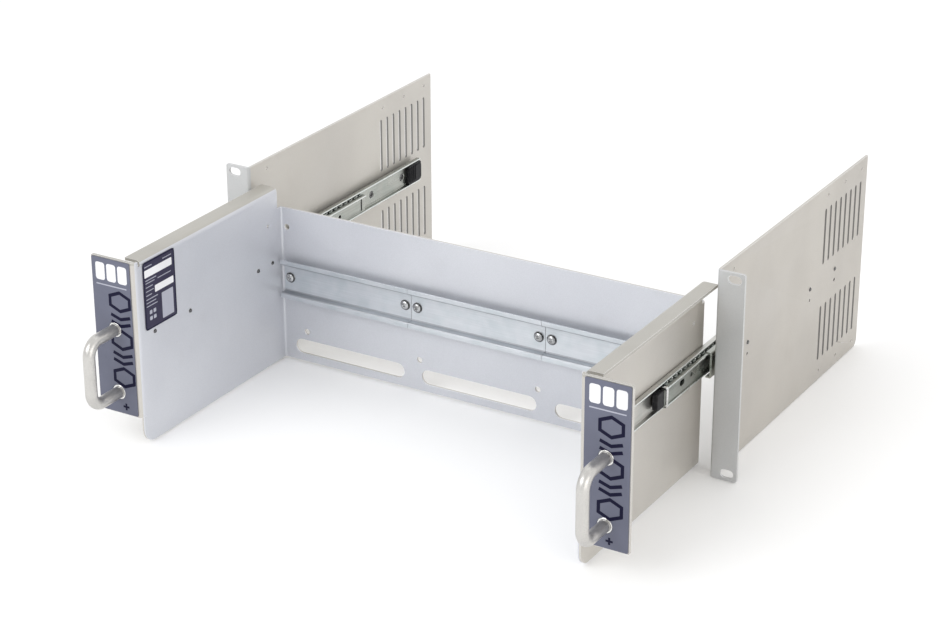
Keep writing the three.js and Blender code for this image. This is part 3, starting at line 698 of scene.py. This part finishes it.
def screw_solid(head, crown, neck, head_height, length, to_place):
    """A screw with a cross recess; neck is the rings from the head's rim down to the shank."""
    rings = head_rings(head / 2 - HEAD_CHAMFER, crown)
    rings.append((head / 2, crown + HEAD_CHAMFER))
    rings.append((head / 2, crown + HEAD_CHAMFER + HEAD_RIM))
    rings += neck
    rings += thread_rings(neck[-1][0], head_height + THREAD_START, length)
    return lathe(rings, SCREW_STEPS, to_place, cross_dent)


def place_along(origin, axis):
    """Turns (a, b, depth) into a point, with depth running from origin along the x or y axis given."""
    base = Vector(origin)
    direction = Vector(axis)
    if abs(direction.x) > 0.5:
        return lambda a, b, depth: base + direction * depth + Vector((0, a, b))
    return lambda a, b, depth: base + direction * depth + Vector((a, 0, b))


def replace_screw(name, body, axis, size, countersunk, material):
    """A finer screw in the CAD screw's place, with its head at the end the axis starts from."""
    head, crown, head_height, shank = (mm(value) for value in size)
    low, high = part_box(name)
    direction = Vector(axis)
    along = 0 if abs(direction.x) > 0.5 else 1
    origin = (low + high) / 2
    origin[along] = low[along] if direction[along] > 0 else high[along]
    length = high[along] - low[along]
    if countersunk:
        neck = [(shank / 2, head_height)]
    else:
        neck = [(head / 2, head_height), (shank / 2, head_height + UNDERSIDE)]
    bm = screw_solid(head, crown, neck, head_height, length, place_along(origin, direction))
    add_piece(f"{name}_fine", bm, body, material, [name])


# Head diameter, how far its edge drops, head height and shank diameter, in millimetres.
SLIDE_SCREW = (6.5, 0.1, 1.3, 3.4)
HANDLE_SCREW = (8.9, 0.1, 2.1, 5)
RAIL_SCREW = (7.4, 1.1, 2.1, 4)
WASHER_OUTER = mm(4.55)
WASHER_INNER = mm(2.2)
WASHER_THICKNESS = mm(0.5)
WASHER_CHAMFER = (mm(0.15), mm(0.15))
WASHER_SEAT = mm(1.05)  # from the DIN rails' backs to the face of their web


def collar_section(inner, outer, back, front, chamfer):
    """The section of a flat ring; chamfer is how far its outer front edge is cut in and back."""
    edge = ((outer, front + chamfer[1]), (outer - chamfer[0], front))
    return ((inner, back), (outer, back), *edge, (inner, front))


def add_washer(screw):
    """The dark washer under a DIN rail screw's head."""
    low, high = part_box(screw)
    middle = (low + high) / 2
    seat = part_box("din_rail_1")[1].y - WASHER_SEAT
    front = seat - WASHER_THICKNESS
    section = collar_section(WASHER_INNER, WASHER_OUTER, seat, front, WASHER_CHAMFER)
    bm = ring_solid((middle.x, middle.z), section)
    add_piece(screw.replace("screw", "washer"), bm, "drawer", "screw_dark")


def replace_screws():
    for side, sign in SIDES:
        for i in (1, 2, 3):
            name = f"cabinet_screw_{side}_{i}"
            replace_screw(name, "rack_sides", (sign, 0, 0), SLIDE_SCREW, True, "screw_dark")
        for i in (1, 2, 3, 4):
            name = f"drawer_screw_{side}_{i}"
            replace_screw(name, "drawer", (-sign, 0, 0), SLIDE_SCREW, True, "screw_dark")
        for i in (1, 2):
            name = f"handle_screw_{side}_{i}"
            replace_screw(name, "drawer", (0, -1, 0), HANDLE_SCREW, True, "screw_steel")
    for i in range(1, 7):
        name = f"din_screw_{i}"
        replace_screw(name, "drawer", (0, 1, 0), RAIL_SCREW, False, "screw_steel")
        add_washer(name)


# ---- telescopic slides ---------------------------------------------------------------

CHANNEL_SHEET = mm(1.5)
CHANNEL_BEND = mm(1.6)
CHANNEL_INNER_BEND = mm(0.6)
BEAM_SHEET = mm(1.4)
BEAM_INNER_BEND = mm(0.5)
BALL_RADIUS = mm(0.72)
BALL_PITCH = mm(8)
BALL_FIRST = mm(5.7)
BALL_LAST = 0.6  # the least space kept behind a ball in its cage, as a share of BALL_PITCH


def channel_outline(reach, half):
    """A C section with rolled corners and round lip ends; a from the back, b up from the middle."""
    lip = CHANNEL_SHEET / 2
    inner = CHANNEL_SHEET + CHANNEL_INNER_BEND
    upper = [
        *arc((CHANNEL_BEND, half - CHANNEL_BEND), CHANNEL_BEND, 180, 90, 6),
        *arc((reach - lip, half - lip), lip, 90, -90, 6),
        *arc((inner, half - inner), CHANNEL_INNER_BEND, 90, 180, 4),
    ]
    return upper + [(a, -b) for a, b in reversed(upper)]


def paint_lip_highlight(bm, is_end):
    """Gives the faces along the lip or flange ends the second material, a painted highlight."""
    for face in bm.faces:
        if len(face.verts) == 4 and is_end(face.calc_center_median().x):
            face.material_index = 1


SINK_HEAD = mm(7.8)
SINK_SHANK = mm(3.9)
SINK_STRAIGHT = mm(0.15)
SINK_DEPTH = mm(1.3)
SINK_BEFORE = mm(3)
SINK_BEHIND = mm(4)
SINK_STEPS = 28


def countersink(place, depth_axis):
    """A cutter for one countersunk screw, starting on the face the screw's head lies in."""
    rings = [
        (0, -SINK_BEFORE),
        (SINK_HEAD / 2, -SINK_BEFORE),
        (SINK_HEAD / 2, SINK_STRAIGHT),
        (SINK_SHANK / 2, SINK_DEPTH),
        (SINK_SHANK / 2, SINK_BEHIND),
        (0, SINK_BEHIND),
    ]
    return lathe(rings, SINK_STEPS, place_along(place, depth_axis))


LIP_HIGHLIGHT = mm(0.7)  # how much of a lip or flange end carries the painted highlight


def replace_channel(name, body, back_sign, screws, material):
    """A rolled channel; back_sign says which way its back faces along X."""
    low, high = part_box(name)
    back = high.x if back_sign > 0 else low.x
    middle = (low.z + high.z) / 2
    outline = channel_outline(high.x - low.x, (high.z - low.z) / 2)
    bm = prism(outline, (low.y, high.y), lambda a, b, y: (back - back_sign * a, y, middle + b))
    lip_end = low.x if back_sign > 0 else high.x
    paint_lip_highlight(bm, lambda x: abs(x - lip_end) < LIP_HIGHLIGHT)
    face = back - back_sign * CHANNEL_SHEET
    cutters = []
    for screw in screws:
        screw_low, screw_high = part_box(screw)
        place = (face, (screw_low.y + screw_high.y) / 2, middle)
        cutters.append(countersink(place, (back_sign, 0, 0)))
    bm = cut_holes(bm, cutters)
    add_piece(f"{name}_fine", bm, body, (material, "slide_edge"), [name])


def beam_outline(reach, half):
    """An H section with round flange ends."""
    half_sheet = BEAM_SHEET / 2
    bend = BEAM_INNER_BEND
    upper = [
        *arc((half_sheet + bend, half - BEAM_SHEET - bend), bend, 180, 90, 3),
        *arc((reach - half_sheet, half - half_sheet), half_sheet, -90, 90, 6),
    ]
    mirrored = [(-a, b) for a, b in reversed(upper)]
    top = upper + mirrored
    return top + [(-a, -b) for a, b in top]


def slot_cutter(middle, length, height, depth):
    """A cutter through X for a slot with round ends; length runs along Y and height along Z."""
    along = (middle.y - length / 2, middle.y + length / 2)
    up = (middle.z - height / 2, middle.z + height / 2)
    outline = round_rectangle(along, up, min(length, height) / 2, 6)
    unique = list(dict.fromkeys((round(a, 7), round(b, 7)) for a, b in outline))
    return prism(unique, (middle.x - depth, middle.x + depth), lambda a, b, x: (x, a, b))


SLOT_REACH = mm(2)

# Slots through the beam's web: distance from its front end, height over its middle, length and height.
BEAM_SLOTS = ((31, 0.5, 8, 5), (47, 1, 4, 4), (186, 0, 4, 4), (221, 0, 2.4, 11.5))


def replace_beam(name, body):
    low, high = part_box(name)
    middle = (low + high) / 2
    half_width = (high.x - low.x) / 2
    outline = beam_outline(half_width, (high.z - low.z) / 2)
    bm = prism(outline, (low.y, high.y), lambda a, b, y: (middle.x + a, y, middle.z + b))
    paint_lip_highlight(bm, lambda x: abs(x - middle.x) > half_width - LIP_HIGHLIGHT)
    cutters = []
    for along, up, length, height in BEAM_SLOTS:
        place = Vector((middle.x, low.y + mm(along), middle.z + mm(up)))
        cutters.append(slot_cutter(place, mm(length), mm(height), SLOT_REACH))
    bm = cut_holes(bm, cutters)
    add_piece(f"{name}_fine", bm, body, ("slide_web", "slide_edge"), [name])


RIM_LENGTH = mm(3.2)
RIM_HALF_HEIGHT = mm(8.6)
RIM_THICKNESS = mm(0.9)
RIM_BEND = mm(1.6)
RIM_INNER_BEND = mm(0.88)


def add_beam_rim(side):
    """The folded bright rim round the beam's front end, behind its buffer."""
    low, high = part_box(f"slide_beam_{side}")
    middle = (low + high) / 2
    bm = bmesh.new()
    rows = []
    for inset, bend in ((0, RIM_BEND), (RIM_THICKNESS, RIM_INNER_BEND)):
        across = (low.x + inset, high.x - inset)
        reach = RIM_HALF_HEIGHT - inset
        outline = round_rectangle(across, (middle.z - reach, middle.z + reach), bend, 5)
        for y in (low.y, low.y + RIM_LENGTH):
            rows.append([bm.verts.new((x, y, z)) for x, z in outline])
    outer_front, outer_back, inner_front, inner_back = rows
    join_rings(bm, outer_front, outer_back)
    join_rings(bm, outer_back, inner_back)
    join_rings(bm, inner_back, inner_front)
    join_rings(bm, inner_front, outer_front)
    add_piece(f"beam_rim_{side}", bm, f"beam_{side}", "bright_ring")


def add_balls(side, cage_kind, channel_kind):
    """The steel balls in a cage's notches, between the channel's lips and the beam's flanges."""
    cage = f"{cage_kind}_{side}"
    cage_low, cage_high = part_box(cage)
    channel_low, channel_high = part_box(f"{channel_kind}_{side}")
    beam_low, beam_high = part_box(f"slide_beam_{side}")
    x = (max(channel_low.x, beam_low.x) + min(channel_high.x, beam_high.x)) / 2
    middle = (cage_low.z + cage_high.z) / 2
    beam_half = (beam_high.z - beam_low.z) / 2
    channel_half = (channel_high.z - channel_low.z) / 2 - CHANNEL_SHEET
    up = (beam_half + channel_half) / 2
    bm = bmesh.new()
    y = cage_low.y + BALL_FIRST
    while y < cage_high.y - BALL_PITCH * BALL_LAST:
        for sign in (-1, 1):
            place = Matrix.Translation((x, y, middle + sign * up))
            bmesh.ops.create_uvsphere(
                bm, u_segments=14, v_segments=10, radius=BALL_RADIUS, matrix=place
            )
        y += BALL_PITCH
    add_piece(f"balls_{cage}", bm, cage, "ball_steel")


STOP_RIBS = 3
STOP_RIB = mm(1.4)
STOP_RIB_INSET = mm(1.6)
STOP_RIB_SPACING = 0.3  # of half the stop's length
STOP_RIB_HEIGHT = 0.8  # of the stop's height
STOP_PAD_END = mm(1)
STOP_PAD_INSET = mm(2)
STOP_RELIEF = mm(0.9)  # how far the ribs and the pad stand out of the block
STOP_OVERLAP = mm(0.3)  # how far they reach into it
STOP_CORNER = mm(2.5)
STOP_PAD_CORNER = mm(1.6)
STOP_RIB_CORNER = mm(0.5)
STOP_BEVEL = mm(0.3)


def replace_stop(side, sign):
    """A moulded stop: a rounded block with a raised pad and ribs on the side facing the drawer."""
    name = f"rail_stop_{side}"
    low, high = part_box(name)
    face, back = (low.x, high.x) if sign > 0 else (high.x, low.x)
    ground = face + sign * STOP_RELIEF
    raised = (face, ground + sign * STOP_OVERLAP)
    half_y, half_z = (high.y - low.y) / 2, (high.z - low.z) / 2
    middle_y, middle_z = low.y + half_y, low.z + half_z
    pad_along = (middle_y, high.y - STOP_PAD_END)
    pad_up = (low.z + STOP_PAD_INSET, high.z - STOP_PAD_INSET)
    rib_up = (middle_z - half_z * STOP_RIB_HEIGHT, middle_z + half_z * STOP_RIB_HEIGHT)
    blocks = [
        ((low.y, high.y), (low.z, high.z), (ground, back), STOP_CORNER),
        (pad_along, pad_up, raised, STOP_PAD_CORNER),
    ]
    for i in range(STOP_RIBS):
        y = low.y + STOP_RIB_INSET + i * half_y * STOP_RIB_SPACING
        blocks.append(((y, y + STOP_RIB), rib_up, raised, STOP_RIB_CORNER))
    bm = bmesh.new()
    for along, up, depth, radius in blocks:
        add_prism(bm, round_rectangle(along, up, radius, 4), depth, lambda a, b, x: (x, a, b))
    piece = add_piece(f"{name}_fine", bm, "rack_sides", "black_rubber", [name])
    add_bevel(piece, STOP_BEVEL)


def replace_slides():
    for side, sign in SIDES:
        cabinet_screws = [f"cabinet_screw_{side}_{i}" for i in (1, 2, 3)]
        drawer_screws = [f"drawer_screw_{side}_{i}" for i in (1, 2, 3, 4)]
        replace_channel(f"cabinet_rail_{side}", "rack_sides", sign, cabinet_screws, "slide_web")
        replace_channel(f"drawer_rail_{side}", "drawer", -sign, drawer_screws, "slide_pale")
        replace_beam(f"slide_beam_{side}", f"beam_{side}")
        replace_stop(side, sign)
        add_balls(side, "outer_cage", "cabinet_rail")
        add_balls(side, "inner_cage", "drawer_rail")


# ---- handles -------------------------------------------------------------------------

HANDLE_CENTER_BEND = mm(12)
HANDLE_FOOT_CHAMFER = mm(0.5)
HANDLE_BEND_STEPS = 14


def handle_path(root, grip, low, high):
    """(y, z, tilt) along the bar's centre line, from the upper foot round to the lower one."""
    bend = HANDLE_CENTER_BEND
    path = [(root, high, 0), (root - HANDLE_FOOT_CHAMFER, high, 0)]
    for start, center_z in ((90, high - bend), (180, low + bend)):
        points = arc((grip + bend, center_z), bend, start, start + 90, HANDLE_BEND_STEPS)
        for i, (y, z) in enumerate(points):
            path.append((y, z, math.radians(start - 90 + 90 * i / HANDLE_BEND_STEPS)))
    path.append((root - HANDLE_FOOT_CHAMFER, low, math.pi))
    path.append((root, low, math.pi))
    return path


def replace_handle(side):
    """A round bar bent into a U, with chamfered feet."""
    name = f"handle_{side}"
    low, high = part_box(name)
    radius = (high.x - low.x) / 2
    middle_x = (low.x + high.x) / 2
    path = handle_path(high.y, low.y + radius, low.z + radius, high.z - radius)
    bm = bmesh.new()
    rows = []
    for index, (y, z, tilt) in enumerate(path):
        at_foot = index in (0, len(path) - 1)
        ring_radius = radius - HANDLE_FOOT_CHAMFER if at_foot else radius
        ring = arc((middle_x, 0), ring_radius, 0, 360, RING_STEPS)[:-1]
        places = [(x, y - out * math.sin(tilt), z + out * math.cos(tilt)) for x, out in ring]
        rows.append([bm.verts.new(place) for place in places])
    for first, second in zip(rows, rows[1:]):
        join_rings(bm, first, second)
    bm.faces.new(rows[0])
    bm.faces.new(rows[-1])
    add_piece(f"{name}_fine", bm, "drawer", "handle_bar", [name])


COLLAR_OUTER = mm(6.2)
COLLAR_INNER = mm(5.2)
COLLAR_CHAMFER = (mm(0.25), mm(0.2))
COLLAR_RISE = mm(0.1)  # above the film


def add_collars(side):
    """The bright metal ring round each handle leg, in the hole of the film."""
    low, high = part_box(f"handle_{side}")
    film_low, film_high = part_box(f"front_overlay_{side}")
    radius = (high.x - low.x) / 2
    middle_x = (low.x + high.x) / 2
    front = film_low.y - COLLAR_RISE
    section = collar_section(COLLAR_INNER, COLLAR_OUTER, film_high.y, front, COLLAR_CHAMFER)
    for index, leg_z in enumerate((low.z + radius, high.z - radius)):
        bm = ring_solid((middle_x, leg_z), section)
        name = f"handle_collar_{side}_{index + 1}"
        add_piece(name, bm, "drawer", "bright_ring")


# ---- prints --------------------------------------------------------------------------

INK = mm(0.04)
FILM_GAP = mm(0.01)
MITRE_LIMIT = 0.3


def stroke_outline(points, width, closed):
    """The two edges of a line of the width given, with mitred corners."""
    count = len(points)
    left, right = [], []
    for i, point in enumerate(points):
        here = Vector(point)
        before = Vector(points[i - 1]) if closed or i > 0 else None
        after = Vector(points[(i + 1) % count]) if closed or i < count - 1 else None
        first = (here - before).normalized() if before is not None else (after - here).normalized()
        second = (after - here).normalized() if after is not None else first
        normal = Vector((-(first.y + second.y), first.x + second.x)).normalized()
        spread = width / 2 / max(MITRE_LIMIT, normal.dot(Vector((-first.y, first.x))))
        left.append(tuple(here + normal * spread))
        right.append(tuple(here - normal * spread))
    return left, right


def add_stroke(bm, points, width, to_place, closed=True):
    """One printed line as a thin closed band."""
    left, right = stroke_outline(points, width, closed)
    count = len(points)
    rows = []
    for side in (left, right):
        rows.append([bm.verts.new(to_place(a, b, 0)) for a, b in side])
        rows.append([bm.verts.new(to_place(a, b, INK)) for a, b in side])
    left_back, left_front, right_back, right_front = rows
    for i in range(count if closed else count - 1):
        j = (i + 1) % count
        for first, second in (
            (left_front, right_front),
            (right_back, left_back),
            (left_back, left_front),
            (right_front, right_back),
        ):
            bm.faces.new((first[i], first[j], second[j], second[i]))
    if not closed:
        for i in (0, count - 1):
            bm.faces.new((left_back[i], left_front[i], right_front[i], right_back[i]))


def add_patch(bm, a, b, radius, to_place):
    """One printed rectangle with round corners, as a thin closed plate."""
    add_prism(bm, round_rectangle(a, b, radius, 4), (0, INK), to_place)


def hexagon(center, half_a, half_b, nib):
    """A long hexagon's corners; nib is how much its pointed ends stick out."""
    a, b = center
    return [
        (a - half_a, b + half_b - nib),
        (a, b + half_b),
        (a + half_a, b + half_b - nib),
        (a + half_a, b - half_b + nib),
        (a, b - half_b),
        (a - half_a, b - half_b + nib),
    ]


# The large dark pattern down each front flange: where each figure starts and ends, in
# millimetres down from the film's top, and its kind. The spans are shares of the film's width.
PATTERN = (
    (27, 43, "hexagon"),
    (47, 56, "bars"),
    (60, 76, "hexagon"),
    (80, 89, "bars"),
    (93, 109, "hexagon"),
    (123, 131, "plus"),
)
PATTERN_WIDTH = mm(2.8)
PATTERN_SPAN = {"left": (0.44, 0.95), "right": (0.34, 0.84)}
NIB = mm(4)
BAR_STEP = mm(6)
BAR_DIP = mm(3)
PLUS_REACH = mm(3)
PLUS_HALF_WIDTH = mm(0.9)
PLUS_GAP = mm(0.95)
PLUS_CORNER = mm(0.3)


def add_plus(bm, center, to_place):
    """A plus sign: one level bar and an upright in two halves."""
    a, b = center
    level = (b - PLUS_HALF_WIDTH, b + PLUS_HALF_WIDTH)
    upright = (a - PLUS_HALF_WIDTH, a + PLUS_HALF_WIDTH)
    add_patch(bm, (a - PLUS_REACH, a + PLUS_REACH), level, PLUS_CORNER, to_place)
    add_patch(bm, upright, (b - PLUS_REACH, b - PLUS_GAP), PLUS_CORNER, to_place)
    add_patch(bm, upright, (b + PLUS_GAP, b + PLUS_REACH), PLUS_CORNER, to_place)


def add_pattern(bm, across, top, to_place):
    a0, a1 = across
    middle = (a0 + a1) / 2
    for start, end, kind in PATTERN:
        high, low = top - mm(start), top - mm(end)
        center = (middle, (high + low) / 2)
        if kind == "hexagon":
            corners = hexagon(center, (a1 - a0) / 2, (high - low) / 2, NIB)
            add_stroke(bm, corners, PATTERN_WIDTH, to_place)
        elif kind == "bars":
            for b in (high, high - BAR_STEP):
                line = [(a0, b), (middle, b - BAR_DIP), (a1, b)]
                add_stroke(bm, line, PATTERN_WIDTH, to_place, closed=False)
        else:
            add_plus(bm, center, to_place)


# The bars and the line: shares of the film's width, and millimetres down from its top.
OVERLAY_BARS = ((0.10, 0.34), (0.39, 0.63), (0.68, 0.92))
OVERLAY_BAR_DROP = (19, 4)
OVERLAY_BAR_CORNER = mm(2.2)
OVERLAY_LINE = (0.1, 0.9)
OVERLAY_LINE_DROP = (23.2, 22.2)
OVERLAY_LINE_CORNER = mm(0.4)


def add_overlay_prints(side):
    """Three plain bars, a thin line and a geometric pattern on one front flange's film."""
    low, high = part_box(f"front_overlay_{side}")

    def to_place(a, b, depth):
        return (a, low.y - FILM_GAP - depth, b)

    def across(shares):
        return tuple(low.x + (high.x - low.x) * share for share in shares)

    def down(drops):
        return tuple(high.z - mm(drop) for drop in drops)

    bars = bmesh.new()
    for shares in OVERLAY_BARS:
        add_patch(bars, across(shares), down(OVERLAY_BAR_DROP), OVERLAY_BAR_CORNER, to_place)
    line = bmesh.new()
    add_patch(line, across(OVERLAY_LINE), down(OVERLAY_LINE_DROP), OVERLAY_LINE_CORNER, to_place)
    pattern = bmesh.new()
    add_pattern(pattern, across(PATTERN_SPAN[side]), high.z, to_place)
    for kind, bm, ink in (
        ("bars", bars, "ink_white"),
        ("line", line, "ink_light"),
        ("pattern", pattern, "ink_dark"),
    ):
        add_piece(f"overlay_{kind}_{side}", bm, "drawer", ink)


# The label's marks, as shares of its length from the front and of its height from the bottom.
# A box is start, end, bottom and top; a line is start, end and bottom; a dot is start and bottom.
LABEL_BOXES = ((0.04, 0.90, 0.77, 0.88), (0.34, 0.93, 0.50, 0.60))
LABEL_FIELD = (0.54, 0.90, 0.06, 0.44)
LABEL_LINES = (
    (0.05, 0.28, 0.92),
    (0.62, 0.90, 0.92),
    (0.06, 0.40, 0.72),
    (0.06, 0.34, 0.68),
    (0.44, 0.86, 0.68),
    (0.06, 0.28, 0.62),
    (0.06, 0.30, 0.56),
    (0.06, 0.24, 0.50),
    (0.06, 0.42, 0.44),
    (0.06, 0.36, 0.39),
    (0.06, 0.40, 0.34),
)
LABEL_LINE_HEIGHT = 0.012
LABEL_DOTS = ((0.14, 0.13), (0.26, 0.13), (0.14, 0.22), (0.26, 0.22))
LABEL_DOT = (0.08, 0.055)
LABEL_BOX_CORNER = mm(0.6)
LABEL_DOT_CORNER = mm(0.5)
LABEL_LINE_CORNER = mm(0.2)
LABEL_BORDER_INSET = mm(0.9)
LABEL_BORDER_WIDTH = mm(0.8)


def add_label_prints():
    """Plain boxes and lines where a type label would have its fields."""
    low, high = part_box("info_label")

    def to_place(a, b, depth):
        return (high.x + FILM_GAP + depth, a, b)

    length, height = high.y - low.y, high.z - low.z

    def span(start, end, lower, upper):
        along = (low.y + length * start, low.y + length * end)
        return along, (low.z + height * lower, low.z + height * upper)

    white = bmesh.new()
    for shares in LABEL_BOXES:
        add_patch(white, *span(*shares), LABEL_BOX_CORNER, to_place)
    add_piece("label_boxes", white, "drawer", "ink_white")
    light = bmesh.new()
    add_patch(light, *span(*LABEL_FIELD), LABEL_DOT_CORNER, to_place)
    for start, end, lower in LABEL_LINES:
        box = span(start, end, lower, lower + LABEL_LINE_HEIGHT)
        add_patch(light, *box, LABEL_LINE_CORNER, to_place)
    for start, lower in LABEL_DOTS:
        box = span(start, start + LABEL_DOT[0], lower, lower + LABEL_DOT[1])
        add_patch(light, *box, LABEL_DOT_CORNER, to_place)
    add_piece("label_marks", light, "drawer", "ink_light")
    border = bmesh.new()
    inset = LABEL_BORDER_INSET
    frame_line = [
        (low.y + inset, low.z + inset),
        (high.y - inset, low.z + inset),
        (high.y - inset, high.z - inset),
        (low.y + inset, high.z - inset),
    ]
    add_stroke(border, frame_line, LABEL_BORDER_WIDTH, to_place)
    add_piece("label_border", border, "drawer", "ink_dark")


# ---- CAD nodes that stay -------------------------------------------------------------

BEVEL_WIDTHS = {"side_sheet": mm(0.28), "drawer_sheet": mm(0.28), "black_rubber": mm(0.7)}
OTHER_BEVEL = mm(0.12)
WELD_DISTANCE = mm(0.002)
FLAT_ANGLE = math.radians(1.5)
BEVEL_ANGLE = math.radians(40)


def material_for(node):
    return next(part["material_slot"] for part in frame["record"]["subparts"] if part["node"] == node)


def soften(node, width):
    """Rounds a CAD node's edges with modifiers only; its own mesh stays as it is."""
    piece = frame["nodes"][node]
    bpy.context.view_layer.objects.active = piece
    bpy.ops.mesh.customdata_custom_splitnormals_clear()
    for polygon in piece.data.polygons:
        polygon.use_smooth = True
    weld = piece.modifiers.new("weld", "WELD")
    weld.merge_threshold = WELD_DISTANCE
    flatten = piece.modifiers.new("flatten", "DECIMATE")
    flatten.decimate_type = "DISSOLVE"
    flatten.angle_limit = FLAT_ANGLE
    bevel = add_bevel(piece, width)
    bevel.angle_limit = BEVEL_ANGLE
    bevel.harden_normals = True


def finish_cad_nodes():
    for name, piece in frame["nodes"].items():
        if piece.hide_render:
            continue
        slot = material_for(name)
        piece.data.materials.clear()
        piece.data.materials.append(MATERIALS[slot])
        soften(name, BEVEL_WIDTHS.get(slot, OTHER_BEVEL))


# ---- put together --------------------------------------------------------------------


add_camera()
add_studio()
add_floor()
replace_screws()
replace_slides()
for side_name, _ in SIDES:
    replace_handle(side_name)
    add_collars(side_name)
    add_beam_rim(side_name)
    add_overlay_prints(side_name)
add_label_prints()
finish_cad_nodes()
